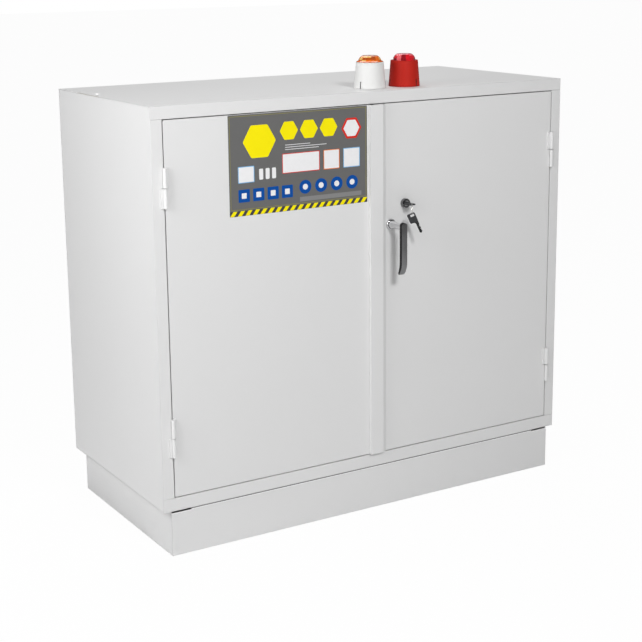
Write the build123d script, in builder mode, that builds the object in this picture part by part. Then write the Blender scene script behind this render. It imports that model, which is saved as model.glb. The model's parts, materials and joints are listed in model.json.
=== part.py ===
from build123d import *
from math import cos, radians, sin
import os

# Two-door fire-resistant battery cabinet on a plinth.
# Millimetres. X runs left to right, Y from the front to the back, Z up.
# The origin is on the floor, below the middle of the whole outline.

# ---- Overall sizes
WIDTH = 1100.0
DEPTH = 510.0
BODY_HEIGHT = 890.0
PLINTH_HEIGHT = 105.0

# ---- Sheet, walls and the door frame
SHEET = 1.5
WALL = 50.0
STILE = 26.4
TOP_RAIL = 27.4
BOTTOM_RAIL = 30.0
REBATE = 45.0
BACK_FLANGE = 20.0
SEAM = 0.3
SOFT_GAP = 0.3

# ---- Plinth
PLINTH_SHEET = 2.0
PLINTH_SIDE_SETBACK = 18.5
PLINTH_FRONT_SETBACK = 2.0
PLINTH_BACK_SETBACK = 17.0
PLINTH_FLANGE = 20.0
PLINTH_FOOT = 15.0
PLINTH_NOTCH_LENGTH = 49.0
PLINTH_NOTCH_HEIGHT = 5.0

# ---- Slot in the left edge of the top
TOP_SLOT_START = 264.0
TOP_SLOT_LENGTH = 137.0
TOP_SLOT_WIDTH = 5.0
TOP_SLOT_DEPTH = 12.0

# ---- Doors
DOOR_GAP = 2.2
MEETING_GAP = 6.0
DOOR_THICKNESS = 42.0
PAN_INSET = 30.0
PAN_MEETING_INSET = 14.0
PAN_RISE = 8.0
PAN_DRAFT = 20.0
PAN_CORNER = 12.0
LIP_OVERLAP = 15.0
LIP_FLAT = 34.0
LIP_RAMP = 12.5
LIP_PROUD = 9.0
LIP_CLEARANCE = 0.6
LIP_SEAL_WIDTH = 8.0
SEAL_WIDTH = 12.0
SEAL_INSET = 6.0
SEAL_BEVEL = 1.0

# ---- Hinges
BARREL_RADIUS = 4.5
HINGE_OFFSET = 5.0
KNUCKLE_HEIGHT = 42.0
KNUCKLE_GAP = 2.0
HINGE_PIN_RADIUS = 2.5
HINGE_PIN_CAP = 4.0
FIXED_FIT = 0.02
RUNNING_FIT = 0.05
WING_REACH = 9.5
WING_START = 1.4
WING_THICKNESS = 3.0
HINGE_HEIGHTS = (168.0, 718.0)

# ---- Lever handle and rod lock on the right door
HANDLE_X = 48.0
HANDLE_HEIGHT = 581.0
ROSETTE_RADIUS = 13.0
ROSETTE_THICKNESS = 6.0
NECK_RADIUS = 7.5
NECK_ROOT_RADIUS = 9.5
NECK_FIT = 0.4
LEVER_REACH = 57.5
LEVER_THICKNESS = 9.0
LEVER_WIDTH = 15.0
LEVER_ABOVE = 11.0
LEVER_BELOW = 112.0
LEVER_HOOK = 13.0
LEVER_HOOK_HEIGHT = 30.0
CROWN_FLAT = 0.5
SPINDLE_SIDE = 8.0
CRANK_RADIUS = 11.0
CRANK_PIN_RADIUS = 2.5
CRANK_PIN_PLAY = 0.45
CRANK_ANGLE = 45.0
HUB_THICKNESS = 4.0
HUB_RIM = 1.2
HUB_BOSS_RADIUS = 7.5
LAYER_GAP = 1.0
ROD_THICKNESS = 4.0
ROD_WIDTH = 14.0
ROD_ROUND = 4.0
YOKE_HALF_GAP = 1.5
YOKE_EDGE = 4.0
LUG_LENGTH = 15.0
LUG_HEIGHT = 5.0
LUG_BELOW_CAM = 2.0
KEEPER_THICKNESS = 2.5
KEEPER_WIDTH = 50.0
KEEPER_DEPTH = 26.0
KEEPER_PLAY = 0.8
KEEPER_POCKET = 15.0
ROD_END_CLEARANCE = 2.5
GUIDE_SHEET = 2.0
GUIDE_HEIGHT = 18.0
GUIDE_FOOT = 12.0
GUIDE_FROM_COVER = 12.0
GUIDE_FROM_END = 30.0
GUIDE_PLAY = 0.4
LOCK_PLATE = 2.0
LOCK_MARGIN = 22.0
COVER_SHEET = 1.5
COVER_FOOT = 8.0

# ---- Key lock and keys
LOCK_RIGHT_OF_HANDLE = 39.0
LOCK_ABOVE_HANDLE = 46.0
LOCK_HEAD_RADIUS = 11.0
LOCK_HEAD_LENGTH = 9.0
HEAD_BEVEL = 1.2
LOCK_BARREL_RADIUS = 9.5
LOCK_HOLE_FIT = 0.4
PLUG_RADIUS = 6.5
PLUG_STUB_RADIUS = 4.0
CAM_LENGTH = 21.0
CAM_HALF_WIDTH = 3.5
CAM_THICKNESS = 3.0
CAM_HUB_RADIUS = 7.0
KEY_SLOT_WIDTH = 9.0
KEY_SLOT_HEIGHT = 2.4
KEY_SLOT_DEPTH = 28.0
BLADE_WIDTH = 7.0
BLADE_THICKNESS = 2.2
BLADE_LENGTH = 28.0
BLADE_ROOT = 2.0
BLADE_EDGE = 0.5
BOW_WIDTH = 19.0
BOW_LENGTH = 23.0
BOW_THICKNESS = 3.0
BOW_ROUND = 3.0
BOW_SLOT_LENGTH = 9.0
BOW_SLOT_WIDTH = 5.6
BOW_SLOT_ROUND = 1.0
BOW_EDGE = 3.0
RING_RADIUS = 13.5
RING_WIRE = 0.8
WIRE_SIDES = 8
RING_TURN = 33.0
RING_LEAN = 42.0
SPARE_TILT = 24.0

# ---- Beacons on the top
BEACON_X = 42.0
BEACON_SPACING = 96.0
BEACON_SETBACK = 76.0
BEACON_RADIUS = 36.5
BEACON_RIM_RADIUS = 32.0
BEACON_HEIGHT = 60.0
BEACON_FOOT = 3.0
BEACON_SLIT_WIDTH = 1.2
BEACON_SLIT_HEIGHT = 17.0
BEACON_SLIT_DEPTH = 2.5
AMBER_SLIT_TURN = -160.0
RED_SLIT_TURN = -35.0
LENS_HEIGHT = 15.0
LENS_RADIUS = 26.0
LENS_TOP_RADIUS = 19.0
LENS_BRIM_RADIUS = 31.0
LENS_BRIM = 3.0
LENS_BRIM_EDGE = 1.0
LENS_BEVEL = 2.0
CUP_DEPTH = 6.0
AMBER_CUP = 0.5
CUP_WALL = 3.0

# ---- Interior
RAIL_WIDTH = 20.0
RAIL_DEPTH = 8.0
RAIL_TOP_GAP = 50.0
RAIL_BOTTOM = 40.0
RAIL_SETBACK = 85.0
RAIL_SHEET = 1.5
RAIL_PITCH = 50.0
RAIL_SLOT_HEIGHT = 12.0
RAIL_SLOT_WIDTH = 6.0
SHELF_LEVEL = 400.0
SHELF_EDGE = 25.0
SHELF_FRONT = 45.0
SHELF_BACK_GAP = 8.0
SHELF_PLAY = 1.0
SHELF_SLOT_LENGTH = 100.0
SHELF_SLOT_WIDTH = 14.0
SHELF_COLUMNS = 6
SHELF_ROWS = 3
BRACKET_SHEET = 3.0
BRACKET_ARM = 24.0
BRACKET_LEG = 30.0
BRACKET_WIDTH = 16.0
STRIP_LENGTH = 440.0
STRIP_HEIGHT = 54.0
STRIP_DEPTH = 40.0
STRIP_BELOW = 35.0
SOCKET_COUNT = 5
SOCKET_PITCH = 82.0
SOCKET_RADIUS = 19.5
SOCKET_DEPTH = 14.0
UNIT_WIDTH = 160.0
UNIT_HEIGHT = 110.0
UNIT_DEPTH = 45.0
UNIT_ROUND = 4.0
UNIT_CORNER = 30.0
DETECTOR_RADIUS = 48.0
DETECTOR_HEIGHT = 36.0
DETECTOR_NECK = 30.0

# ---- Cable inlet in the back
GLAND_FROM_SIDE = 130.0
GLAND_BELOW_TOP = 90.0
GLAND_BORE = 7.0
GLAND_RADIUS = 11.0
GLAND_HEAD_RADIUS = 16.0
GLAND_HEAD = 12.0
GLAND_THREAD_END = 9.0
GLAND_NUT = 6.0
GLAND_FIT = 0.3
GLAND_BEVEL = 1.5

# ---- Levels and planes worked out from the sizes above
HALF = WIDTH / 2
FACE = (LEVER_REACH - DEPTH - GLAND_HEAD) / 2
BACK = FACE + DEPTH
FLOOR = PLINTH_HEIGHT
TOP = PLINTH_HEIGHT + BODY_HEIGHT
OPEN_X = HALF - STILE
OPEN_LOW = FLOOR + BOTTOM_RAIL
OPEN_HIGH = TOP - TOP_RAIL
STOP = FACE + REBATE
INNER_X = HALF - WALL
INNER_LOW = FLOOR + WALL
INNER_HIGH = TOP - WALL
INNER_BACK = BACK - WALL
DOOR_X = OPEN_X - DOOR_GAP
DOOR_LOW = OPEN_LOW + DOOR_GAP
DOOR_HIGH = OPEN_HIGH - DOOR_GAP
MEETING_X = MEETING_GAP / 2
DOOR_BACK = FACE + DOOR_THICKNESS
PAN_FACE = DOOR_BACK + PAN_RISE
HINGE_X = OPEN_X - DOOR_GAP / 2
HINGE_Y = FACE - HINGE_OFFSET
HANDLE_Z = FLOOR + HANDLE_HEIGHT
LOCK_X = HANDLE_X + LOCK_RIGHT_OF_HANDLE
LOCK_Z = HANDLE_Z + LOCK_ABOVE_HANDLE
HUB_FACE = PAN_FACE + LOCK_PLATE + LAYER_GAP
ROD_FACE = HUB_FACE + HUB_THICKNESS + LAYER_GAP
ROD_BACK = ROD_FACE + ROD_THICKNESS
CRANK_RISE = CRANK_RADIUS * sin(radians(CRANK_ANGLE))
ROD_TOP = INNER_HIGH - KEEPER_THICKNESS - ROD_END_CLEARANCE
ROD_BOTTOM = INNER_LOW + KEEPER_THICKNESS + ROD_END_CLEARANCE
SHELF_Z = INNER_LOW + SHELF_LEVEL
SHELF_X = INNER_X - RAIL_DEPTH - SHELF_PLAY
GLAND_X = GLAND_FROM_SIDE - HALF
GLAND_Z = TOP - GLAND_BELOW_TOP
HUB_RADIUS = CRANK_RADIUS + CRANK_PIN_RADIUS + HUB_RIM
COVER_X0 = HANDLE_X - LOCK_MARGIN
COVER_X1 = LOCK_X + LOCK_MARGIN
COVER_Z0 = HANDLE_Z - 2 * LOCK_MARGIN
COVER_Z1 = LOCK_Z + 2 * LOCK_MARGIN
COVER_BACK = ROD_BACK + 3 * LAYER_GAP

os.makedirs("parts", exist_ok=True)


def save(piece, name):
    """Label a finished piece and write it under its name."""
    piece.part.label = name
    export_step(piece.part, f"parts/{name}.step")


def slab(x, y, z, mode=Mode.ADD):
    """A block between two values on each axis, in the open part."""
    middle = tuple((span[0] + span[1]) / 2 for span in (x, y, z))
    with Locations(middle):
        Box(x[1] - x[0], y[1] - y[0], z[1] - z[0], mode=mode)


def rod_along_y(x, z, radius, y0, y1, mode=Mode.ADD):
    """A cylinder along Y from y0 to y1, in the open part."""
    with BuildSketch(Plane.XZ.offset(-y1)) as circle:
        with Locations((x, z)):
            Circle(radius)
    extrude(circle.sketch, amount=y1 - y0, mode=mode)


def folded(plane, points, sheet, side, length):
    """Sheet of one thickness bent along a line of points, run out to a length."""
    with BuildSketch(plane) as profile:
        with BuildLine():
            Polyline(*points)
            offset(amount=sheet, side=side)
        make_face()
    extrude(profile.sketch, amount=length)


def across(x0):
    """A plane whose sketch axes are Y and Z, facing +X, at x0."""
    return Plane(origin=(x0, 0, 0), x_dir=(0, 1, 0), z_dir=(1, 0, 0))


# ------------------------------------------------------------------ plinth
PLINTH_X = HALF - PLINTH_SIDE_SETBACK
PLINTH_Y0 = FACE + PLINTH_FRONT_SETBACK
PLINTH_Y1 = BACK - PLINTH_BACK_SETBACK

with BuildPart() as plinth_front:
    folded(
        across(-PLINTH_X),
        ((PLINTH_Y0 + PLINTH_FLANGE, FLOOR), (PLINTH_Y0, FLOOR), (PLINTH_Y0, 0),
         (PLINTH_Y0 + PLINTH_FOOT, 0)),
        PLINTH_SHEET, Side.LEFT, 2 * PLINTH_X,
    )
    for side in (-1, 1):
        ends = sorted((side * PLINTH_X, side * (PLINTH_X - PLINTH_NOTCH_LENGTH)))
        slab(ends, (PLINTH_Y0, PLINTH_Y0 + PLINTH_FLANGE), (FLOOR - PLINTH_NOTCH_HEIGHT, FLOOR),
             mode=Mode.SUBTRACT)
save(plinth_front, "plinth_front")

with BuildPart() as plinth_back:
    folded(
        across(-PLINTH_X),
        ((PLINTH_Y1 - PLINTH_FLANGE, FLOOR), (PLINTH_Y1, FLOOR), (PLINTH_Y1, 0),
         (PLINTH_Y1 - PLINTH_FOOT, 0)),
        PLINTH_SHEET, Side.RIGHT, 2 * PLINTH_X,
    )
save(plinth_back, "plinth_back")

with BuildPart() as plinth_sides:
    for side in (-1, 1):
        outer = side * PLINTH_X
        inner = side * (PLINTH_X - PLINTH_SHEET)
        edge = side * (PLINTH_X - PLINTH_FLANGE)
        slab(sorted((outer, inner)), (PLINTH_Y0 + PLINTH_SHEET, PLINTH_Y1 - PLINTH_SHEET),
             (PLINTH_SHEET, FLOOR - PLINTH_SHEET))
        slab(sorted((outer, edge)), (PLINTH_Y0 + PLINTH_FLANGE, PLINTH_Y1 - PLINTH_FLANGE),
             (FLOOR - PLINTH_SHEET, FLOOR))
        slab(sorted((outer, edge)), (PLINTH_Y0 + PLINTH_FLANGE, PLINTH_Y1 - PLINTH_FLANGE),
             (0, PLINTH_SHEET))
save(plinth_sides, "plinth_sides")

# ------------------------------------------------------------------ outer casing
with BuildPart() as casing_bottom:
    folded(
        across(-HALF),
        ((BACK - SHEET, FLOOR), (FACE, FLOOR), (FACE, OPEN_LOW)),
        SHEET, Side.RIGHT, WIDTH,
    )
    slab((SHEET - HALF, HALF - SHEET), (FACE, STOP), (OPEN_LOW - SHEET, OPEN_LOW))
save(casing_bottom, "casing_bottom")

with BuildPart() as casing_top:
    folded(
        across(-HALF),
        ((BACK - SHEET, TOP), (FACE, TOP), (FACE, OPEN_HIGH)),
        SHEET, Side.LEFT, WIDTH,
    )
    slab((SHEET - HALF, HALF - SHEET), (FACE, STOP), (OPEN_HIGH, OPEN_HIGH + SHEET))
    slab((-HALF, TOP_SLOT_WIDTH - HALF),
         (FACE + TOP_SLOT_START, FACE + TOP_SLOT_START + TOP_SLOT_LENGTH),
         (TOP - SHEET, TOP), mode=Mode.SUBTRACT)
save(casing_top, "casing_top")

with BuildPart() as casing_left:
    folded(
        Plane.XY.offset(FLOOR + SHEET),
        ((-HALF, FACE + SHEET), (-HALF, BACK - SHEET), (BACK_FLANGE - HALF, BACK - SHEET)),
        SHEET, Side.RIGHT, BODY_HEIGHT - 2 * SHEET,
    )
    folded(
        Plane.XY.offset(OPEN_LOW + SEAM),
        ((-OPEN_X, STOP), (-OPEN_X, FACE), (-HALF, FACE)),
        SHEET, Side.RIGHT, OPEN_HIGH - OPEN_LOW - 2 * SEAM,
    )
save(casing_left, "casing_left")

with BuildPart() as casing_right:
    mirror(casing_left.part, about=Plane.YZ)
save(casing_right, "casing_right")

with BuildPart() as casing_back:
    slab((-HALF, HALF), (BACK - SHEET, BACK), (FLOOR, TOP))
    rod_along_y(GLAND_X, GLAND_Z, GLAND_RADIUS + GLAND_FIT, BACK - SHEET, BACK, Mode.SUBTRACT)
save(casing_back, "casing_back")

# ------------------------------------------------------------------ insulation boards
BOARD_X = HALF - SHEET
BOARD_IN = INNER_X + SHEET
BOARD_Y0 = STOP + SHEET
BOARD_LOW = FLOOR + SHEET
BOARD_HIGH = TOP - SHEET
ROD_Y = (ROD_FACE + ROD_BACK) / 2
KEEPER_HALF_X = ROD_WIDTH / 2 + KEEPER_PLAY
KEEPER_HALF_Y = ROD_THICKNESS / 2 + KEEPER_PLAY


def rod_hole(z0, z1):
    """The clearance for a lock rod, cut out of the open part."""
    slab((HANDLE_X - KEEPER_HALF_X, HANDLE_X + KEEPER_HALF_X),
         (ROD_Y - KEEPER_HALF_Y, ROD_Y + KEEPER_HALF_Y), (z0, z1), mode=Mode.SUBTRACT)


with BuildPart() as insulation_left:
    slab((-BOARD_X, -BOARD_IN), (BOARD_Y0, BACK - 2 * SHEET), (BOARD_LOW, BOARD_HIGH))
    slab((-BOARD_X, TOP_SLOT_WIDTH - HALF),
         (FACE + TOP_SLOT_START, FACE + TOP_SLOT_START + TOP_SLOT_LENGTH),
         (TOP - TOP_SLOT_DEPTH, BOARD_HIGH), mode=Mode.SUBTRACT)
save(insulation_left, "insulation_left")

with BuildPart() as insulation_right:
    slab((BOARD_IN, BOARD_X), (BOARD_Y0, BACK - 2 * SHEET), (BOARD_LOW, BOARD_HIGH))
save(insulation_right, "insulation_right")

with BuildPart() as insulation_top:
    slab((-BOARD_IN, BOARD_IN), (BOARD_Y0, INNER_BACK + SHEET), (INNER_HIGH + SHEET, BOARD_HIGH))
    rod_hole(INNER_HIGH + SHEET, INNER_HIGH + KEEPER_POCKET)
save(insulation_top, "insulation_top")

with BuildPart() as insulation_bottom:
    slab((-BOARD_IN, BOARD_IN), (BOARD_Y0, INNER_BACK + SHEET), (BOARD_LOW, INNER_LOW - SHEET))
    rod_hole(INNER_LOW - KEEPER_POCKET, INNER_LOW - SHEET)
save(insulation_bottom, "insulation_bottom")

with BuildPart() as insulation_back:
    slab((-BOARD_IN, BOARD_IN), (INNER_BACK + SHEET, BACK - SHEET), (BOARD_LOW, BOARD_HIGH))
    rod_along_y(GLAND_X, GLAND_Z, GLAND_RADIUS + GLAND_FIT, INNER_BACK + SHEET, BACK - SHEET,
                Mode.SUBTRACT)
save(insulation_back, "insulation_back")

# ------------------------------------------------------------------ inner lining
LINING_X = OPEN_X + SHEET

with BuildPart() as lining_top:
    folded(
        across(-BOARD_IN),
        ((INNER_BACK + SHEET, INNER_HIGH), (STOP, INNER_HIGH), (STOP, OPEN_HIGH + SHEET)),
        SHEET, Side.RIGHT, 2 * BOARD_IN,
    )
    for side in (-1, 1):
        slab(sorted((side * BOARD_IN, side * LINING_X)), (STOP, STOP + SHEET),
             (INNER_HIGH, OPEN_HIGH + SHEET))
    rod_hole(INNER_HIGH, INNER_HIGH + SHEET)
save(lining_top, "lining_top")

with BuildPart() as lining_bottom:
    folded(
        across(-BOARD_IN),
        ((INNER_BACK + SHEET, INNER_LOW), (STOP, INNER_LOW), (STOP, OPEN_LOW - SHEET)),
        SHEET, Side.LEFT, 2 * BOARD_IN,
    )
    for side in (-1, 1):
        slab(sorted((side * BOARD_IN, side * LINING_X)), (STOP, STOP + SHEET),
             (OPEN_LOW - SHEET, INNER_LOW))
    rod_hole(INNER_LOW - SHEET, INNER_LOW)
save(lining_bottom, "lining_bottom")

with BuildPart() as lining_left:
    folded(
        Plane.XY.offset(INNER_LOW),
        ((-LINING_X, STOP), (-INNER_X, STOP), (-INNER_X, INNER_BACK + SHEET)),
        SHEET, Side.LEFT, INNER_HIGH - INNER_LOW,
    )
save(lining_left, "lining_left")

with BuildPart() as lining_right:
    mirror(lining_left.part, about=Plane.YZ)
save(lining_right, "lining_right")

with BuildPart() as lining_back:
    slab((-INNER_X, INNER_X), (INNER_BACK, INNER_BACK + SHEET), (INNER_LOW, INNER_HIGH))
    rod_along_y(GLAND_X, GLAND_Z, GLAND_RADIUS + GLAND_FIT, INNER_BACK, INNER_BACK + SHEET,
                Mode.SUBTRACT)
save(lining_back, "lining_back")

# ------------------------------------------------------------------ door seal in the rebate
with BuildPart() as frame_seal:
    with BuildSketch(Plane.XZ.offset(-STOP)):
        with Locations((0, (INNER_LOW + INNER_HIGH) / 2)):
            Rectangle(2 * (INNER_X + SEAL_INSET + SEAL_WIDTH),
                      INNER_HIGH - INNER_LOW + 2 * (SEAL_INSET + SEAL_WIDTH))
            Rectangle(2 * (INNER_X + SEAL_INSET), INNER_HIGH - INNER_LOW + 2 * SEAL_INSET,
                      mode=Mode.SUBTRACT)
    extrude(amount=REBATE - DOOR_THICKNESS - SOFT_GAP)
    chamfer(frame_seal.faces().sort_by(Axis.Y)[0].edges(), SEAL_BEVEL)
save(frame_seal, "frame_seal")

# ------------------------------------------------------------------ hinges
LOWER_KNUCKLES = [FLOOR + z - KNUCKLE_GAP / 2 - KNUCKLE_HEIGHT for z in HINGE_HEIGHTS]
UPPER_KNUCKLES = [FLOOR + z + KNUCKLE_GAP / 2 for z in HINGE_HEIGHTS]


def knuckle(side, wing_side, z, bore):
    """A weld-on hinge knuckle: a barrel with a wing that lies on the sheet beside it."""
    x = side * HINGE_X
    with BuildSketch(Plane.XY.offset(z)) as profile:
        with Locations((x, HINGE_Y)):
            Circle(BARREL_RADIUS)
        wing = sorted((x + wing_side * WING_START, x + wing_side * WING_REACH))
        with BuildLine():
            Polyline((wing[0], FACE), (wing[1], FACE), (wing[1], FACE - WING_THICKNESS),
                     (wing[0], FACE - WING_THICKNESS), close=True)
        make_face()
        with Locations((x, HINGE_Y)):
            Circle(bore, mode=Mode.SUBTRACT)
    extrude(profile.sketch, amount=KNUCKLE_HEIGHT)


with BuildPart() as frame_knuckles:
    for side in (-1, 1):
        for level in LOWER_KNUCKLES:
            knuckle(side, side, level, HINGE_PIN_RADIUS + FIXED_FIT)
save(frame_knuckles, "frame_knuckles")

with BuildPart() as hinge_pins:
    for side in (-1, 1):
        for level in LOWER_KNUCKLES:
            with BuildSketch(Plane.XY.offset(level)):
                with Locations((side * HINGE_X, HINGE_Y)):
                    Circle(HINGE_PIN_RADIUS)
            extrude(amount=2 * KNUCKLE_HEIGHT + KNUCKLE_GAP - HINGE_PIN_CAP)
save(hinge_pins, "hinge_pins")

with BuildPart() as left_door_knuckles:
    for level in UPPER_KNUCKLES:
        knuckle(-1, 1, level, HINGE_PIN_RADIUS + RUNNING_FIT)
save(left_door_knuckles, "left_door_knuckles")

with BuildPart() as right_door_knuckles:
    mirror(left_door_knuckles.part, about=Plane.YZ)
save(right_door_knuckles, "right_door_knuckles")


# ------------------------------------------------------------------ doors
def door_pan(x_meeting, x_hinge, side):
    """The inner door sheet: a flat rim with a raised, hollow middle."""
    pan_x = sorted((x_meeting + side * PAN_MEETING_INSET, x_hinge - side * PAN_INSET))
    middle = (pan_x[0] + pan_x[1]) / 2
    height = (DOOR_LOW + DOOR_HIGH) / 2
    width = pan_x[1] - pan_x[0]
    tall = DOOR_HIGH - DOOR_LOW - 2 * PAN_INSET
    slab(sorted((x_meeting, x_hinge)), (DOOR_BACK - SHEET, DOOR_BACK), (DOOR_LOW, DOOR_HIGH))
    for grow, start, mode in ((0, 0, Mode.ADD), (-2 * SHEET, -SHEET, Mode.SUBTRACT)):
        plane = Plane((0, DOOR_BACK + start, 0), x_dir=(-1, 0, 0), z_dir=(0, 1, 0))
        with BuildSketch(plane) as outline:
            with Locations((-middle, height)):
                RectangleRounded(width + grow, tall + grow, PAN_CORNER)
        extrude(outline.sketch, amount=PAN_RISE, taper=PAN_DRAFT, mode=mode)


with BuildPart() as left_door_skin:
    slab((-DOOR_X, -MEETING_X), (FACE, DOOR_BACK - SHEET), (DOOR_LOW, DOOR_HIGH))
    offset(amount=-SHEET, openings=left_door_skin.faces().sort_by(Axis.Y)[-1])
save(left_door_skin, "left_door_skin")

with BuildPart() as left_door_insulation:
    slab((SHEET - DOOR_X, -MEETING_X - SHEET), (FACE + SHEET, DOOR_BACK - SHEET),
         (DOOR_LOW + SHEET, DOOR_HIGH - SHEET))
save(left_door_insulation, "left_door_insulation")

with BuildPart() as left_door_pan:
    door_pan(-MEETING_X, -DOOR_X, -1)
save(left_door_pan, "left_door_pan")

LIP_X = MEETING_X - LIP_OVERLAP
RAMP_X0 = LIP_X + LIP_FLAT
RAMP_X1 = RAMP_X0 + LIP_RAMP
LIP_FACE = FACE - LIP_PROUD

with BuildPart() as right_door_skin:
    with BuildSketch(Plane.XY.offset(DOOR_LOW)):
        with BuildLine():
            Polyline((MEETING_X, DOOR_BACK - SHEET), (MEETING_X, LIP_FACE), (RAMP_X0, LIP_FACE),
                     (RAMP_X1, FACE), (DOOR_X, FACE), (DOOR_X, DOOR_BACK - SHEET), close=True)
        make_face()
    extrude(amount=DOOR_HIGH - DOOR_LOW)
    offset(amount=-SHEET, openings=right_door_skin.faces().sort_by(Axis.Y)[-1])
    folded(
        Plane.XY.offset(DOOR_LOW),
        ((MEETING_X, LIP_FACE), (LIP_X, LIP_FACE), (LIP_X, FACE - LIP_CLEARANCE)),
        SHEET, Side.RIGHT, DOOR_HIGH - DOOR_LOW,
    )
    rod_along_y(HANDLE_X, HANDLE_Z, NECK_RADIUS, FACE, FACE + SHEET, Mode.SUBTRACT)
    rod_along_y(LOCK_X, LOCK_Z, LOCK_BARREL_RADIUS + LOCK_HOLE_FIT, FACE, FACE + SHEET,
                Mode.SUBTRACT)
save(right_door_skin, "right_door_skin")

with BuildPart() as right_door_insulation:
    slab((MEETING_X + SHEET, DOOR_X - SHEET), (FACE + SHEET, DOOR_BACK - SHEET),
         (DOOR_LOW + SHEET, DOOR_HIGH - SHEET))
    rod_along_y(HANDLE_X, HANDLE_Z, NECK_RADIUS, FACE, DOOR_BACK, Mode.SUBTRACT)
    rod_along_y(LOCK_X, LOCK_Z, LOCK_BARREL_RADIUS + LOCK_HOLE_FIT, FACE, DOOR_BACK,
                Mode.SUBTRACT)
save(right_door_insulation, "right_door_insulation")

with BuildPart() as right_door_pan:
    door_pan(MEETING_X, DOOR_X, 1)
    rod_along_y(HANDLE_X, HANDLE_Z, NECK_RADIUS, DOOR_BACK, PAN_FACE, Mode.SUBTRACT)
    rod_along_y(LOCK_X, LOCK_Z, LOCK_BARREL_RADIUS + LOCK_HOLE_FIT, DOOR_BACK, PAN_FACE,
                Mode.SUBTRACT)
save(right_door_pan, "right_door_pan")

with BuildPart() as lip_seal:
    slab((LIP_X + SHEET, LIP_X + SHEET + LIP_SEAL_WIDTH), (LIP_FACE + SHEET, FACE - SOFT_GAP),
         (DOOR_LOW, DOOR_HIGH))
save(lip_seal, "lip_seal")

# ------------------------------------------------------------------ lever handle
with BuildPart() as rosette:
    with BuildSketch(Plane.YZ):
        with BuildLine():
            Polyline((FACE, NECK_ROOT_RADIUS + NECK_FIT), (FACE, ROSETTE_RADIUS),
                     (FACE - ROSETTE_THICKNESS / 2, ROSETTE_RADIUS),
                     (FACE - ROSETTE_THICKNESS, ROSETTE_RADIUS - 2),
                     (FACE - ROSETTE_THICKNESS, NECK_ROOT_RADIUS + NECK_FIT), close=True)
        make_face()
    revolve(axis=Axis.Y)
rosette.part.position = (HANDLE_X, 0, HANDLE_Z)
save(rosette, "rosette")

GRIP_FRONT = FACE - LEVER_REACH
GRIP_BACK = GRIP_FRONT + LEVER_THICKNESS
HOOK_TOP = HANDLE_Z - LEVER_BELOW + LEVER_HOOK_HEIGHT
TIP_Z = HANDLE_Z - LEVER_BELOW
TIP_THICKNESS = LEVER_THICKNESS / 2

with BuildPart() as lever:
    with BuildSketch(across(HANDLE_X - LEVER_WIDTH / 2)):
        with BuildLine():
            front = Line((GRIP_FRONT, HANDLE_Z + LEVER_ABOVE), (GRIP_FRONT, HOOK_TOP))
            hook = TangentArc(front @ 1, (GRIP_FRONT + LEVER_HOOK, TIP_Z), tangent=front % 1)
            tip = Line(hook @ 1, (GRIP_FRONT + LEVER_HOOK + TIP_THICKNESS / 2,
                                  TIP_Z + TIP_THICKNESS))
            back = Line((GRIP_BACK, HOOK_TOP), (GRIP_BACK, HANDLE_Z + LEVER_ABOVE))
            inner = TangentArc(back @ 0, tip @ 1, tangent=(0, -1))
            Line(back @ 1, front @ 0)
        make_face()
    extrude(amount=LEVER_WIDTH)
    crown = lever.edges().filter_by(Axis.Y).group_by(Axis.Z)[-1]
    fillet(crown, LEVER_WIDTH / 2 - CROWN_FLAT)
    with BuildSketch(Plane.XZ.offset(-(FACE - ROSETTE_THICKNESS))):
        with Locations((HANDLE_X, HANDLE_Z)):
            Circle(NECK_ROOT_RADIUS)
    with BuildSketch(Plane.XZ.offset(-(FACE - LEVER_REACH / 2))):
        with Locations((HANDLE_X, HANDLE_Z)):
            Circle(NECK_RADIUS)
    loft()
    rod_along_y(HANDLE_X, HANDLE_Z, NECK_RADIUS, GRIP_BACK - LEVER_THICKNESS / 2,
                FACE - LEVER_REACH / 2)
    rod_along_y(HANDLE_X, HANDLE_Z, NECK_ROOT_RADIUS, FACE - ROSETTE_THICKNESS,
                FACE - SOFT_GAP)
    slab((HANDLE_X - SPINDLE_SIDE / 2, HANDLE_X + SPINDLE_SIDE / 2),
         (GRIP_BACK + LEVER_THICKNESS, FACE),
         (HANDLE_Z - SPINDLE_SIDE / 2, HANDLE_Z + SPINDLE_SIDE / 2), mode=Mode.SUBTRACT)
save(lever, "lever")

with BuildPart() as spindle:
    slab((HANDLE_X - SPINDLE_SIDE / 2, HANDLE_X + SPINDLE_SIDE / 2),
         (GRIP_BACK + LEVER_THICKNESS, HUB_FACE + HUB_THICKNESS),
         (HANDLE_Z - SPINDLE_SIDE / 2, HANDLE_Z + SPINDLE_SIDE / 2))
save(spindle, "spindle")

# ------------------------------------------------------------------ rod lock
with BuildPart() as lock_plate:
    slab((COVER_X0 - COVER_FOOT, COVER_X1 + COVER_FOOT), (PAN_FACE, PAN_FACE + LOCK_PLATE),
         (COVER_Z0, COVER_Z1))
    rod_along_y(HANDLE_X, HANDLE_Z, HUB_BOSS_RADIUS + RUNNING_FIT, PAN_FACE,
                PAN_FACE + LOCK_PLATE, Mode.SUBTRACT)
    rod_along_y(LOCK_X, LOCK_Z, LOCK_BARREL_RADIUS + LOCK_HOLE_FIT, PAN_FACE,
                PAN_FACE + LOCK_PLATE, Mode.SUBTRACT)
save(lock_plate, "lock_plate")

CRANKS = [(HANDLE_X + side * CRANK_RISE, HANDLE_Z - side * CRANK_RISE) for side in (1, -1)]

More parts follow.
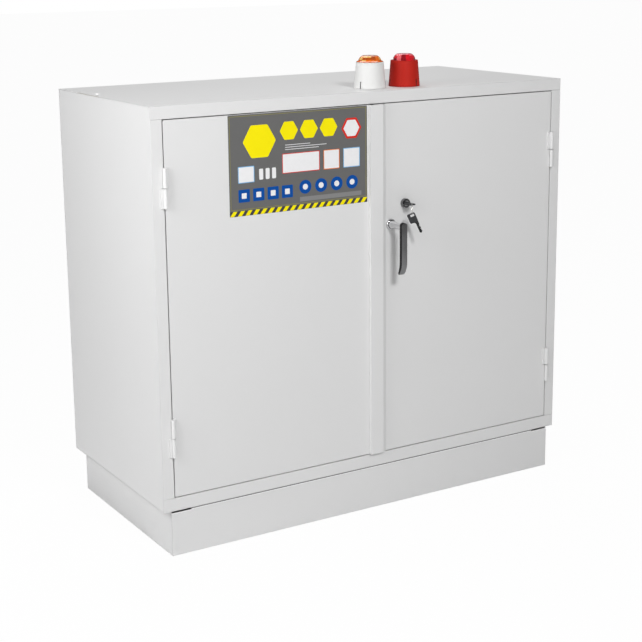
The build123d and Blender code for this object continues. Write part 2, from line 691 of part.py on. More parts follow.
with BuildPart() as crank_hub:
    rod_along_y(HANDLE_X, HANDLE_Z, HUB_RADIUS, HUB_FACE, HUB_FACE + HUB_THICKNESS)
    rod_along_y(HANDLE_X, HANDLE_Z, HUB_BOSS_RADIUS, PAN_FACE, HUB_FACE)
    for x, z in CRANKS:
        rod_along_y(x, z, CRANK_PIN_RADIUS, HUB_FACE, ROD_BACK + LAYER_GAP)
    slab((HANDLE_X - SPINDLE_SIDE / 2, HANDLE_X + SPINDLE_SIDE / 2),
         (PAN_FACE, HUB_FACE + HUB_THICKNESS),
         (HANDLE_Z - SPINDLE_SIDE / 2, HANDLE_Z + SPINDLE_SIDE / 2), mode=Mode.SUBTRACT)
save(crank_hub, "crank_hub")

# Each rod has a yoke beside the hub, whose level slot turns the crank pin's arc into a
# straight stroke. The lower rod is the upper one turned half a turn about the hub.
SLOT_HALF = CRANK_PIN_RADIUS + CRANK_PIN_PLAY
SLOT_X = ((CRANK_RISE + CRANK_RADIUS) / 2, CRANK_RADIUS - CRANK_RISE + 2 * SLOT_HALF)
YOKE_X = (YOKE_HALF_GAP, CRANK_RADIUS + SLOT_HALF + YOKE_EDGE)
YOKE_Z = (-CRANK_RISE - SLOT_HALF - YOKE_EDGE, CRANK_RISE + SLOT_HALF + 4 * YOKE_EDGE)
BAR_START = CRANK_RISE + SLOT_HALF + 2 * YOKE_EDGE


def rod(direction, end):
    """A flat lock rod with its yoke, in the open part; direction is 1 up, -1 down."""
    def spans(a, b):
        return sorted((HANDLE_X + direction * a, HANDLE_X + direction * b))

    def levels(a, b):
        return sorted((HANDLE_Z + direction * a, HANDLE_Z + direction * b))

    thick = (ROD_FACE, ROD_BACK)
    slab(spans(*YOKE_X), thick, levels(*YOKE_Z))
    slab((HANDLE_X - ROD_WIDTH / 2, HANDLE_X + ROD_WIDTH / 2), thick,
         sorted((HANDLE_Z + direction * BAR_START, end)))
    with BuildSketch(Plane.XZ.offset(-ROD_BACK)) as slot:
        with Locations((HANDLE_X + direction * SLOT_X[0], HANDLE_Z - direction * CRANK_RISE)):
            SlotOverall(SLOT_X[1], 2 * SLOT_HALF)
    extrude(slot.sketch, amount=ROD_THICKNESS, mode=Mode.SUBTRACT)


LUG_TOP = LOCK_Z - CAM_HALF_WIDTH - LUG_BELOW_CAM

with BuildPart() as upper_rod:
    rod(1, ROD_TOP)
    slab((HANDLE_X, HANDLE_X + ROD_WIDTH / 2 + LUG_LENGTH), (ROD_FACE, ROD_BACK),
         (LUG_TOP - LUG_HEIGHT, LUG_TOP))
    fillet(upper_rod.edges().filter_by(Axis.Y).group_by(Axis.Z)[-1], ROD_ROUND)
save(upper_rod, "upper_rod")

with BuildPart() as lower_rod:
    rod(-1, ROD_BOTTOM)
    fillet(lower_rod.edges().filter_by(Axis.Y).group_by(Axis.Z)[0], ROD_ROUND)
save(lower_rod, "lower_rod")

GUIDE_HALF = ROD_WIDTH / 2 + GUIDE_PLAY
GUIDE_TOP = ROD_BACK + GUIDE_PLAY
GUIDE_LEVELS = (
    COVER_Z1 + GUIDE_FROM_COVER, ROD_TOP - GUIDE_FROM_END - GUIDE_HEIGHT,
    COVER_Z0 - GUIDE_FROM_COVER - GUIDE_HEIGHT, ROD_BOTTOM + GUIDE_FROM_END)

with BuildPart() as rod_guides:
    for level in GUIDE_LEVELS:
        folded(
            Plane.XY.offset(level),
            ((HANDLE_X - GUIDE_HALF - GUIDE_SHEET - GUIDE_FOOT, PAN_FACE + GUIDE_SHEET),
             (HANDLE_X - GUIDE_HALF - GUIDE_SHEET, PAN_FACE + GUIDE_SHEET),
             (HANDLE_X - GUIDE_HALF - GUIDE_SHEET, GUIDE_TOP + GUIDE_SHEET),
             (HANDLE_X + GUIDE_HALF + GUIDE_SHEET, GUIDE_TOP + GUIDE_SHEET),
             (HANDLE_X + GUIDE_HALF + GUIDE_SHEET, PAN_FACE + GUIDE_SHEET),
             (HANDLE_X + GUIDE_HALF + GUIDE_SHEET + GUIDE_FOOT, PAN_FACE + GUIDE_SHEET)),
            GUIDE_SHEET, Side.RIGHT, GUIDE_HEIGHT,
        )
save(rod_guides, "rod_guides")

with BuildPart() as lock_cover:
    folded(
        Plane.XY.offset(COVER_Z0),
        ((COVER_X0 - COVER_FOOT, PAN_FACE + LOCK_PLATE + COVER_SHEET),
         (COVER_X0, PAN_FACE + LOCK_PLATE + COVER_SHEET),
         (COVER_X0, COVER_BACK),
         (COVER_X1, COVER_BACK),
         (COVER_X1, PAN_FACE + LOCK_PLATE + COVER_SHEET),
         (COVER_X1 + COVER_FOOT, PAN_FACE + LOCK_PLATE + COVER_SHEET)),
        COVER_SHEET, Side.RIGHT, COVER_Z1 - COVER_Z0,
    )
save(lock_cover, "lock_cover")

with BuildPart() as rod_keepers:
    for z0 in (INNER_LOW, INNER_HIGH - KEEPER_THICKNESS):
        slab((HANDLE_X - KEEPER_WIDTH / 2, HANDLE_X + KEEPER_WIDTH / 2),
             (ROD_Y - KEEPER_DEPTH / 2, ROD_Y + KEEPER_DEPTH / 2), (z0, z0 + KEEPER_THICKNESS))
        rod_hole(z0, z0 + KEEPER_THICKNESS)
save(rod_keepers, "rod_keepers")

# ------------------------------------------------------------------ key lock
HEAD_FACE = FACE - LOCK_HEAD_LENGTH
PLUG_BACK = HUB_FACE + HUB_THICKNESS

with BuildPart() as lock_housing:
    rod_along_y(LOCK_X, LOCK_Z, LOCK_HEAD_RADIUS, HEAD_FACE, FACE)
    chamfer(lock_housing.faces().sort_by(Axis.Y)[0].edges(), HEAD_BEVEL)
    rod_along_y(LOCK_X, LOCK_Z, LOCK_BARREL_RADIUS, FACE, PLUG_BACK)
    rod_along_y(LOCK_X, LOCK_Z, PLUG_RADIUS + RUNNING_FIT, HEAD_FACE, PLUG_BACK, Mode.SUBTRACT)
save(lock_housing, "lock_housing")

CAM_FACE = ROD_FACE + (ROD_THICKNESS - CAM_THICKNESS) / 2

with BuildPart() as lock_plug:
    rod_along_y(LOCK_X, LOCK_Z, PLUG_RADIUS, HEAD_FACE, PLUG_BACK + SOFT_GAP)
    rod_along_y(LOCK_X, LOCK_Z, PLUG_STUB_RADIUS, PLUG_BACK, CAM_FACE + CAM_THICKNESS + LAYER_GAP)
    slab((LOCK_X - KEY_SLOT_WIDTH / 2, LOCK_X + KEY_SLOT_WIDTH / 2),
         (HEAD_FACE, HEAD_FACE + KEY_SLOT_DEPTH + LAYER_GAP),
         (LOCK_Z - KEY_SLOT_HEIGHT / 2, LOCK_Z + KEY_SLOT_HEIGHT / 2), mode=Mode.SUBTRACT)
save(lock_plug, "lock_plug")

with BuildPart() as lock_cam:
    with BuildSketch(Plane.XZ.offset(-(CAM_FACE + CAM_THICKNESS))):
        with Locations((LOCK_X, LOCK_Z)):
            Circle(CAM_HUB_RADIUS)
        with Locations((LOCK_X, LOCK_Z + CAM_LENGTH / 2)):
            Rectangle(2 * CAM_HALF_WIDTH, CAM_LENGTH)
        with Locations((LOCK_X, LOCK_Z)):
            Circle(PLUG_STUB_RADIUS + FIXED_FIT, mode=Mode.SUBTRACT)
    extrude(amount=CAM_THICKNESS)
save(lock_cam, "lock_cam")


def key_outline(plane, blade_offset):
    """A flat key in the open part: a plastic bow with a slot, and a blade below it.

    The sketch's Y axis runs from the blade's tip (negative) to the bow's free end, with its
    zero where the bow meets the blade.
    """
    with BuildSketch(plane) as bow:
        with Locations((0, BOW_LENGTH / 2)):
            RectangleRounded(BOW_WIDTH, BOW_LENGTH, BOW_ROUND)
        with Locations((BOW_SLOT_SHIFT, BOW_SLOT_CENTRE)):
            RectangleRounded(BOW_SLOT_LENGTH, BOW_SLOT_WIDTH, BOW_SLOT_ROUND, mode=Mode.SUBTRACT)
    extrude(bow.sketch, amount=BOW_THICKNESS / 2, both=True)
    with BuildSketch(plane) as blade:
        with Locations((blade_offset, (BLADE_ROOT - BLADE_LENGTH) / 2)):
            Rectangle(BLADE_WIDTH, BLADE_LENGTH + BLADE_ROOT)
    extrude(blade.sketch, amount=BLADE_THICKNESS / 2, both=True)


BOW_SLOT_SHIFT = (BOW_WIDTH - BOW_SLOT_LENGTH) / 2 - BOW_EDGE
BOW_SLOT_CENTRE = BOW_LENGTH - BOW_EDGE - BOW_SLOT_WIDTH / 2
BOW_START = HEAD_FACE - LAYER_GAP

with BuildPart() as key:
    key_outline(Plane((LOCK_X, BOW_START, LOCK_Z), x_dir=(1, 0, 0), z_dir=(0, 0, -1)), 0)
save(key, "key")

# The ring hangs through the bow's slot and round its free end, turned about the vertical.
RING_DROP = RING_RADIUS * sin(radians(RING_LEAN))
RING_REACH = RING_RADIUS * cos(radians(RING_LEAN))
RING_X_DIR = sin(radians(RING_TURN))
RING_Y_DIR = cos(radians(RING_TURN))
RING_HOLE = (LOCK_X + BOW_SLOT_SHIFT, BOW_START - BOW_SLOT_CENTRE)
RING_CENTRE = (RING_HOLE[0] - RING_REACH * RING_X_DIR, RING_HOLE[1] - RING_REACH * RING_Y_DIR,
               LOCK_Z - RING_DROP)
RING_PLANE = Plane(RING_CENTRE, x_dir=(RING_X_DIR, RING_Y_DIR, 0),
                   z_dir=(RING_Y_DIR, -RING_X_DIR, 0))

with BuildPart() as key_ring:
    with BuildLine(RING_PLANE) as ring_line:
        CenterArc((0, 0), RING_RADIUS, 0, 360)
    with BuildSketch(Plane(ring_line.line @ 0, z_dir=ring_line.line % 0)):
        RegularPolygon(RING_WIRE, WIRE_SIDES)
    sweep()
save(key_ring, "key_ring")

# The spare key hangs from the lowest point of the ring, square to it.
HANG = Plane(
    (RING_CENTRE[0], RING_CENTRE[1], RING_CENTRE[2] - RING_RADIUS),
    x_dir=(RING_Y_DIR, -RING_X_DIR, 0), z_dir=(-RING_X_DIR, -RING_Y_DIR, 0),
).rotated((0, 0, SPARE_TILT))
BRIDGE = RING_WIRE + SOFT_GAP
SPARE_PLANE = Plane(
    HANG.origin - HANG.y_dir * (BOW_LENGTH - BOW_EDGE - BRIDGE) - HANG.x_dir * BOW_SLOT_SHIFT,
    x_dir=HANG.x_dir, z_dir=HANG.z_dir)

with BuildPart() as spare_key:
    key_outline(SPARE_PLANE, (BOW_WIDTH - BLADE_WIDTH) / 2 - BLADE_EDGE)
save(spare_key, "spare_key")


# ------------------------------------------------------------------ beacons
def turned(x, y, points):
    """A solid turned about a vertical axis at x, y from radius and height points."""
    with BuildSketch(Plane((x, y, TOP), x_dir=(1, 0, 0), z_dir=(0, -1, 0))) as profile:
        with BuildLine():
            Polyline(*points, close=True)
        make_face()
    revolve(profile.sketch, axis=Axis((x, y, TOP), (0, 0, 1)))


BEACON_Y = FACE + BEACON_SETBACK
AMBER_X = BEACON_X
RED_X = BEACON_X + BEACON_SPACING
LENS_TOP = BEACON_HEIGHT + LENS_HEIGHT


def beacon_body(x, slit_turn, cup):
    """A tapered sounder body with a foot, short slits and, if asked, a cup in its top."""
    turned(x, BEACON_Y, (
        (0, 0), (BEACON_RADIUS, 0), (BEACON_RADIUS, BEACON_FOOT),
        (BEACON_RIM_RADIUS, BEACON_HEIGHT), (BEACON_RIM_RADIUS - CUP_WALL, BEACON_HEIGHT),
        (BEACON_RIM_RADIUS - CUP_WALL, BEACON_HEIGHT - cup), (0, BEACON_HEIGHT - cup)))
    for turn in (slit_turn, slit_turn + 120, slit_turn + 240):
        at = (x + BEACON_RADIUS * cos(radians(turn)), BEACON_Y + BEACON_RADIUS * sin(radians(turn)))
        with BuildSketch(Plane((at[0], at[1], TOP))) as slit:
            Rectangle(2 * BEACON_SLIT_DEPTH, BEACON_SLIT_WIDTH, rotation=turn)
        extrude(slit.sketch, amount=BEACON_SLIT_HEIGHT, mode=Mode.SUBTRACT)


with BuildPart() as amber_beacon_body:
    beacon_body(AMBER_X, AMBER_SLIT_TURN, AMBER_CUP)
save(amber_beacon_body, "amber_beacon_body")

with BuildPart() as amber_beacon_lens:
    turned(AMBER_X, BEACON_Y, (
        (0, BEACON_HEIGHT - AMBER_CUP),
        (BEACON_RIM_RADIUS - CUP_WALL - SOFT_GAP, BEACON_HEIGHT - AMBER_CUP),
        (BEACON_RIM_RADIUS - CUP_WALL - SOFT_GAP, BEACON_HEIGHT),
        (LENS_BRIM_RADIUS, BEACON_HEIGHT), (LENS_BRIM_RADIUS, BEACON_HEIGHT + LENS_BRIM_EDGE),
        (LENS_RADIUS, BEACON_HEIGHT + LENS_BRIM), (LENS_TOP_RADIUS, LENS_TOP), (0, LENS_TOP)))
    chamfer(amber_beacon_lens.edges().group_by(Axis.Z)[-1], LENS_BEVEL)
save(amber_beacon_lens, "amber_beacon_lens")

with BuildPart() as red_beacon_body:
    beacon_body(RED_X, RED_SLIT_TURN, CUP_DEPTH)
save(red_beacon_body, "red_beacon_body")

with BuildPart() as red_beacon_lens:
    turned(RED_X, BEACON_Y, (
        (0, BEACON_HEIGHT - CUP_DEPTH), (LENS_RADIUS, BEACON_HEIGHT - CUP_DEPTH),
        (LENS_RADIUS, BEACON_HEIGHT + LENS_BRIM), (LENS_TOP_RADIUS, LENS_TOP), (0, LENS_TOP)))
    chamfer(red_beacon_lens.edges().group_by(Axis.Z)[-1], LENS_BEVEL)
save(red_beacon_lens, "red_beacon_lens")

# ------------------------------------------------------------------ shelf and its rails
RAIL_YS = (STOP + RAIL_SETBACK, INNER_BACK - RAIL_SETBACK)
RAIL_Z = INNER_LOW + RAIL_BOTTOM
RAIL_LENGTH = INNER_HIGH - RAIL_TOP_GAP - RAIL_Z
RAIL_SLOTS = int((RAIL_LENGTH - RAIL_PITCH) // RAIL_PITCH) + 1

with BuildPart() as shelf_rails:
    for side in (-1, 1):
        wall = side * INNER_X
        face = side * (INNER_X - RAIL_DEPTH)
        turn = Side.RIGHT if side > 0 else Side.LEFT
        for y in RAIL_YS:
            folded(
                Plane.XY.offset(RAIL_Z),
                ((wall, y - RAIL_WIDTH / 2), (face, y - RAIL_WIDTH / 2),
                 (face, y + RAIL_WIDTH / 2), (wall, y + RAIL_WIDTH / 2)),
                RAIL_SHEET, turn, RAIL_LENGTH,
            )
            with BuildSketch(across(min(face, face + side * RAIL_SHEET))):
                with Locations((y, RAIL_Z + RAIL_LENGTH / 2)):
                    with GridLocations(0, RAIL_PITCH, 1, RAIL_SLOTS):
                        Rectangle(RAIL_SLOT_WIDTH, RAIL_SLOT_HEIGHT)
            extrude(amount=RAIL_SHEET, mode=Mode.SUBTRACT)
save(shelf_rails, "shelf_rails")

SHELF_Y0 = STOP + SHELF_FRONT
SHELF_Y1 = INNER_BACK - SHELF_BACK_GAP

with BuildPart() as shelf:
    slab((-SHELF_X, SHELF_X), (SHELF_Y0, SHELF_Y1), (SHELF_Z - SHELF_EDGE, SHELF_Z))
    offset(amount=-SHEET, openings=shelf.faces().sort_by(Axis.Z)[0])
    with BuildSketch(Plane.XY.offset(SHELF_Z)):
        with Locations((0, (SHELF_Y0 + SHELF_Y1) / 2)):
            with GridLocations(2 * SHELF_X / SHELF_COLUMNS, (SHELF_Y1 - SHELF_Y0) / SHELF_ROWS,
                               SHELF_COLUMNS, SHELF_ROWS):
                SlotOverall(SHELF_SLOT_LENGTH, SHELF_SLOT_WIDTH)
    extrude(amount=-SHEET, mode=Mode.SUBTRACT)
save(shelf, "shelf")

BRACKET_Z = SHELF_Z - SHELF_EDGE

with BuildPart() as shelf_brackets:
    for side in (-1, 1):
        face = side * (INNER_X - RAIL_DEPTH)
        for y in RAIL_YS:
            folded(
                Plane((0, y + BRACKET_WIDTH / 2, 0), x_dir=(1, 0, 0), z_dir=(0, -1, 0)),
                ((face - side * BRACKET_ARM, BRACKET_Z), (face, BRACKET_Z),
                 (face, BRACKET_Z - BRACKET_LEG)),
                BRACKET_SHEET, Side.RIGHT if side > 0 else Side.LEFT, BRACKET_WIDTH,
            )
save(shelf_brackets, "shelf_brackets")


# ------------------------------------------------------------------ fittings inside
def socket_strip(top):
    """A socket strip on the back wall, with round recesses in its front."""
    slab((-STRIP_LENGTH / 2, STRIP_LENGTH / 2), (INNER_BACK - STRIP_DEPTH, INNER_BACK),
         (top - STRIP_HEIGHT, top))
    with BuildSketch(Plane.XZ.offset(-(INNER_BACK - STRIP_DEPTH + SOCKET_DEPTH))) as recess:
        with Locations((0, top - STRIP_HEIGHT / 2)):
            with GridLocations(SOCKET_PITCH, 0, SOCKET_COUNT, 1):
                Circle(SOCKET_RADIUS)
    extrude(recess.sketch, amount=SOCKET_DEPTH, mode=Mode.SUBTRACT)


with BuildPart() as upper_socket_strip:
    socket_strip(INNER_HIGH - STRIP_BELOW)
save(upper_socket_strip, "upper_socket_strip")

with BuildPart() as lower_socket_strip:
    socket_strip(SHELF_Z - SHELF_EDGE - STRIP_BELOW)
save(lower_socket_strip, "lower_socket_strip")

with BuildPart() as control_unit:
    slab((INNER_X - UNIT_CORNER - UNIT_WIDTH, INNER_X - UNIT_CORNER),
         (INNER_BACK - UNIT_DEPTH, INNER_BACK),
         (INNER_HIGH - UNIT_CORNER - UNIT_HEIGHT, INNER_HIGH - UNIT_CORNER))
    fillet(control_unit.edges().filter_by(Axis.Y), UNIT_ROUND)
save(control_unit, "control_unit")

DETECTOR_Y = (STOP + INNER_BACK) / 2

with BuildPart() as smoke_detector:
    with BuildSketch(Plane((0, DETECTOR_Y, INNER_HIGH), x_dir=(1, 0, 0), z_dir=(0, -1, 0))):
        with BuildLine():
            Polyline((0, 0), (DETECTOR_RADIUS, 0), (DETECTOR_RADIUS, -DETECTOR_HEIGHT / 3),
                     (DETECTOR_NECK, -2 * DETECTOR_HEIGHT / 3),
                     (DETECTOR_NECK, -DETECTOR_HEIGHT), (0, -DETECTOR_HEIGHT), close=True)
        make_face()
    revolve(axis=Axis((0, DETECTOR_Y, INNER_HIGH), (0, 0, 1)))
save(smoke_detector, "smoke_detector")

# ------------------------------------------------------------------ cable inlet
with BuildPart() as cable_gland:
    rod_along_y(GLAND_X, GLAND_Z, GLAND_HEAD_RADIUS, BACK, BACK + GLAND_HEAD)
    chamfer(cable_gland.faces().sort_by(Axis.Y)[-1].edges(), GLAND_BEVEL)
    rod_along_y(GLAND_X, GLAND_Z, GLAND_RADIUS, INNER_BACK - GLAND_THREAD_END, BACK)
    rod_along_y(GLAND_X, GLAND_Z, GLAND_BORE, INNER_BACK - GLAND_THREAD_END, BACK + GLAND_HEAD,
                Mode.SUBTRACT)
save(cable_gland, "cable_gland")

with BuildPart() as gland_nut:
    with BuildSketch(Plane.XZ.offset(-INNER_BACK)):
        with Locations((GLAND_X, GLAND_Z)):
            RegularPolygon(GLAND_HEAD_RADIUS, 6)
            Circle(GLAND_RADIUS + FIXED_FIT, mode=Mode.SUBTRACT)
    extrude(amount=GLAND_NUT)
save(gland_nut, "gland_nut")
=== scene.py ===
"""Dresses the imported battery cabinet: finishes, printed panel, lenses, keys and small fittings."""

import json
import math

import bmesh
import bpy
from mathutils import Matrix, Vector


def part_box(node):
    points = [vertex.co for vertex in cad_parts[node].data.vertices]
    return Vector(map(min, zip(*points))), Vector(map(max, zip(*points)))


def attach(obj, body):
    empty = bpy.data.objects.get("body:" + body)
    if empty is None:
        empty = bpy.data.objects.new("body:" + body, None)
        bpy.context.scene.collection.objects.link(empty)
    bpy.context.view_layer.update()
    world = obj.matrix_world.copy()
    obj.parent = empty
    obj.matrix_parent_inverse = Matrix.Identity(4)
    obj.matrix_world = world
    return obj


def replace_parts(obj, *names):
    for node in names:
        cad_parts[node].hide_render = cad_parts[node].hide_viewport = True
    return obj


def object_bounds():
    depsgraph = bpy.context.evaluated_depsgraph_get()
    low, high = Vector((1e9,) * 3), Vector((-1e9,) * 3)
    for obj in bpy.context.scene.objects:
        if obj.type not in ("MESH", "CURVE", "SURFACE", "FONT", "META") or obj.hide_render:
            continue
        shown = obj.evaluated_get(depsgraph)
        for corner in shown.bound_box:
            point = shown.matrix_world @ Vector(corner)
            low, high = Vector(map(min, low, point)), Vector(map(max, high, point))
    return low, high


bl_info = {
    "name": "Battery cabinet dressing",
    "version": (1, 0, 0),
    "blender": (4, 5, 0),
    "location": "3D View > Sidebar > Cabinet",
    "description": "Finishes, printed panel, lenses, keys and fittings for a two-door battery cabinet",
    "category": "Object",
}

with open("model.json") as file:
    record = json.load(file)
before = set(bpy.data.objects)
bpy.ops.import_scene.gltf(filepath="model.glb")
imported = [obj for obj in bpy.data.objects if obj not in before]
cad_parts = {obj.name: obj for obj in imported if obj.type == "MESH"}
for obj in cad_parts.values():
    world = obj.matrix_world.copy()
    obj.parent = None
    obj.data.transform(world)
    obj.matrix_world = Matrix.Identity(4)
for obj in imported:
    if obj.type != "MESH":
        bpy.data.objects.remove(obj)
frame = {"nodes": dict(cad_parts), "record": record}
CAD_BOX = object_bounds()
NODES = frame["nodes"]
BODY_OF = {node: body for body, nodes in frame["record"]["behaviour"]["bodies"].items()
           for node in nodes}
CAMERA_PLACE = (-1.76905, -2.91824, 1.2986)
CAMERA_ANGLES = (-31.21521, 12.25602, -0.62237)  # degrees around, above and rolled
FLOOR_REACH = 30  # metres from the middle to each edge of the floor
FLOOR_GLOW = 0.97  # share of the floor's white that only the camera sees
UNDER_INSET = 0.06  # how far the dark floor face stays inside the cabinet's box

# ------------------------------------------------------------------ values that users change


class CabinetFinishes(bpy.types.PropertyGroup):
    """Colours and surface texture of the cabinet's materials."""

    coat: bpy.props.FloatVectorProperty(
        name="Powder coat", description="Colour of the outer powder coat",
        subtype="COLOR", size=3, min=0, max=1, default=(0.80, 0.80, 0.80))
    inner_coat: bpy.props.FloatVectorProperty(
        name="Inner coat", description="Colour of the lining and the shelf",
        subtype="COLOR", size=3, min=0, max=1, default=(0.77, 0.77, 0.76))
    coat_grain: bpy.props.FloatProperty(
        name="Coat grain", description="Grains of the powder coat in a metre",
        min=100, max=3000, default=850)
    edge_round: bpy.props.FloatProperty(
        name="Edge rounding", description="How far the coat softens a folded edge",
        unit="LENGTH", min=0, max=0.004, default=0.0022)
    amber: bpy.props.FloatVectorProperty(
        name="Amber lens", description="Colour of the amber beacon's lens",
        subtype="COLOR", size=3, min=0, max=1, default=(1.0, 0.19, 0.003))
    red: bpy.props.FloatVectorProperty(
        name="Red beacon", description="Colour of the red beacon's body",
        subtype="COLOR", size=3, min=0, max=1, default=(0.50, 0.018, 0.010))


class PrintedPanel(bpy.types.PropertyGroup):
    """Sizes and colours of the printed panel on the left door."""

    width: bpy.props.FloatProperty(
        name="Width", description="Width of the printed panel", unit="LENGTH",
        min=0.1, max=0.45, default=0.354)
    height: bpy.props.FloatProperty(
        name="Height", description="Height of the printed panel", unit="LENGTH",
        min=0.05, max=0.4, default=0.220)
    from_lip: bpy.props.FloatProperty(
        name="From the lip", description="Gap between the panel and the centre lip",
        unit="LENGTH", min=0, max=0.1, default=0.004)
    from_top: bpy.props.FloatProperty(
        name="From the top", description="Gap between the panel and the door's top edge",
        unit="LENGTH", min=0, max=0.1, default=0.0006)
    ground: bpy.props.FloatVectorProperty(
        name="Ground", description="Colour of the panel's ground", subtype="COLOR", size=3,
        min=0, max=1, default=(0.150, 0.150, 0.148))
    stripes: bpy.props.IntProperty(
        name="Stripes", description="How many slanted stripes the lower band has",
        min=4, max=60, default=19)


class BeaconLenses(bpy.types.PropertyGroup):
    """Sizes of the faceted beacon lenses."""

    facets: bpy.props.IntProperty(
        name="Facets", description="Flat facets round each lens", min=6, max=48, default=14)
    clearness: bpy.props.FloatProperty(
        name="Clearness", description="Share of the light that the lens lets through", min=0,
        max=1, default=0.12)


class Fasteners(bpy.types.PropertyGroup):
    """Sizes of the small fasteners inside and at the back."""

    radius: bpy.props.FloatProperty(
        name="Head radius", description="Radius of a screw head", unit="LENGTH",
        min=0.001, max=0.01, default=0.0036)
    height: bpy.props.FloatProperty(
        name="Head height", description="Height of a screw head", unit="LENGTH",
        min=0.0005, max=0.005, default=0.0016)


class Studio(bpy.types.PropertyGroup):
    """The camera, the lamps and the floor."""

    lens: bpy.props.FloatProperty(
        name="Lens", description="Focal length in millimetres", min=20, max=200, default=79.785)
    shift: bpy.props.FloatProperty(
        name="Vertical shift", description="Share of the frame's width", min=-0.2, max=0.2,
        default=-0.09)
    front_power: bpy.props.FloatProperty(
        name="Front lamp", description="Power of the lamp in front of the doors", subtype="POWER",
        min=0, max=500, default=41.5)
    side_power: bpy.props.FloatProperty(
        name="Side lamp", description="Power of the lamp at the left side", subtype="POWER",
        min=0, max=500, default=17.3)
    top_power: bpy.props.FloatProperty(
        name="Overhead lamp", description="Power of the lamp above and behind", subtype="POWER",
        min=0, max=500, default=21.5)
    sky: bpy.props.FloatProperty(
        name="Room light", description="Strength of the light from all round", min=0, max=2,
        default=0.20)


# ------------------------------------------------------------------ node helpers
def add(tree, kind, **values):
    """Add a node and set its attributes and input defaults by name."""
    made = tree.nodes.new(kind)
    for key, value in values.items():
        if hasattr(made, key):
            setattr(made, key, value)
        else:
            made.inputs[key.replace("_", " ")].default_value = value
    return made


def grain_group():
    """Tone, gloss and height of a fine moulded, coated or brushed surface, as a group."""
    if "surface_grain" in bpy.data.node_groups:
        return bpy.data.node_groups["surface_grain"]
    tree = bpy.data.node_groups.new("surface_grain", "ShaderNodeTree")
    for name, kind, default in (
            ("Color", "NodeSocketColor", (0.8, 0.8, 0.8, 1)), ("Tone", "NodeSocketFloat", 0.03),
            ("Tone Size", "NodeSocketFloat", 4.0), ("Grain", "NodeSocketFloat", 800.0),
            ("Roughness", "NodeSocketFloat", 0.4), ("Gloss Spread", "NodeSocketFloat", 0.06),
            ("Stretch", "NodeSocketVector", (1, 1, 1))):
        socket = tree.interface.new_socket(name, in_out="INPUT", socket_type=kind)
        socket.default_value = default
    for name, kind in (("Color", "NodeSocketColor"), ("Roughness", "NodeSocketFloat"),
                       ("Height", "NodeSocketFloat")):
        tree.interface.new_socket(name, in_out="OUTPUT", socket_type=kind)
    link = tree.links.new
    source, result = add(tree, "NodeGroupInput"), add(tree, "NodeGroupOutput")
    place = add(tree, "ShaderNodeTexCoord")
    scaled = add(tree, "ShaderNodeVectorMath", operation="MULTIPLY")
    link(place.outputs["Object"], scaled.inputs[0])
    link(source.outputs["Stretch"], scaled.inputs[1])
    fine = add(tree, "ShaderNodeTexNoise", Detail=3.0)
    broad = add(tree, "ShaderNodeTexNoise", Detail=2.0)
    for texture, size in ((fine, "Grain"), (broad, "Tone Size")):
        link(scaled.outputs[0], texture.inputs["Vector"])
        link(source.outputs[size], texture.inputs["Scale"])

    def spread(texture, amount, centre):
        middle = add(tree, "ShaderNodeMath", operation="SUBTRACT")
        middle.inputs[1].default_value = 0.5
        link(texture.outputs["Fac"], middle.inputs[0])
        scale = add(tree, "ShaderNodeMath", operation="MULTIPLY_ADD")
        link(middle.outputs[0], scale.inputs[0])
        link(source.outputs[amount], scale.inputs[1])
        if isinstance(centre, str):
            link(source.outputs[centre], scale.inputs[2])
        else:
            scale.inputs[2].default_value = centre
        return scale.outputs[0]

    tone = add(tree, "ShaderNodeHueSaturation")
    link(spread(broad, "Tone", 1.0), tone.inputs["Value"])
    link(source.outputs["Color"], tone.inputs["Color"])
    link(tone.outputs["Color"], result.inputs["Color"])
    link(spread(fine, "Gloss Spread", "Roughness"), result.inputs["Roughness"])
    link(fine.outputs["Fac"], result.inputs["Height"])
    return tree


def show_camera(tree, output, usual, seen, share=1.0):
    """Mix a share of a second shader in for rays that come from the camera."""
    path, mix = add(tree, "ShaderNodeLightPath"), add(tree, "ShaderNodeMixShader")
    part = add(tree, "ShaderNodeMath", operation="MULTIPLY")
    part.inputs[1].default_value = share
    for start, end in (
            (path.outputs["Is Camera Ray"], part.inputs[0]), (part.outputs[0], mix.inputs[0]),
            (usual.outputs[0], mix.inputs[1]), (seen.outputs[0], mix.inputs[2]),
            (mix.outputs[0], add(tree, output).inputs["Surface"])):
        tree.links.new(start, end)


FINISHES = {}


def finish(name, color, roughness, *, tone=0.04, tone_size=4.0, grain=800.0, gloss=0.06,
           bump=0.1, depth=0.0002, edge=0.0, stretch=(1, 1, 1), **shader):
    """A material whose colour, gloss and bump come from the grain group."""
    if name in FINISHES:
        return FINISHES[name]
    material = bpy.data.materials.new(name)
    material.use_nodes = True
    tree = material.node_tree
    principled = tree.nodes["Principled BSDF"]
    for key, value in shader.items():
        principled.inputs[key.replace("_", " ")].default_value = value
    group = add(tree, "ShaderNodeGroup", node_tree=grain_group())
    group.inputs["Color"].default_value = (*color, 1)
    for key, value in (("Tone", tone), ("Tone Size", tone_size), ("Grain", grain),
                       ("Roughness", roughness), ("Gloss Spread", gloss), ("Stretch", stretch)):
        group.inputs[key].default_value = value
    tree.links.new(group.outputs["Color"], principled.inputs["Base Color"])
    tree.links.new(group.outputs["Roughness"], principled.inputs["Roughness"])
    relief = add(tree, "ShaderNodeBump", Strength=bump, Distance=depth)
    tree.links.new(group.outputs["Height"], relief.inputs["Height"])
    if edge:
        bevel = add(tree, "ShaderNodeBevel", samples=6, Radius=edge)
        tree.links.new(bevel.outputs["Normal"], relief.inputs["Normal"])
    tree.links.new(relief.outputs["Normal"], principled.inputs["Normal"])
    FINISHES[name] = material
    return material


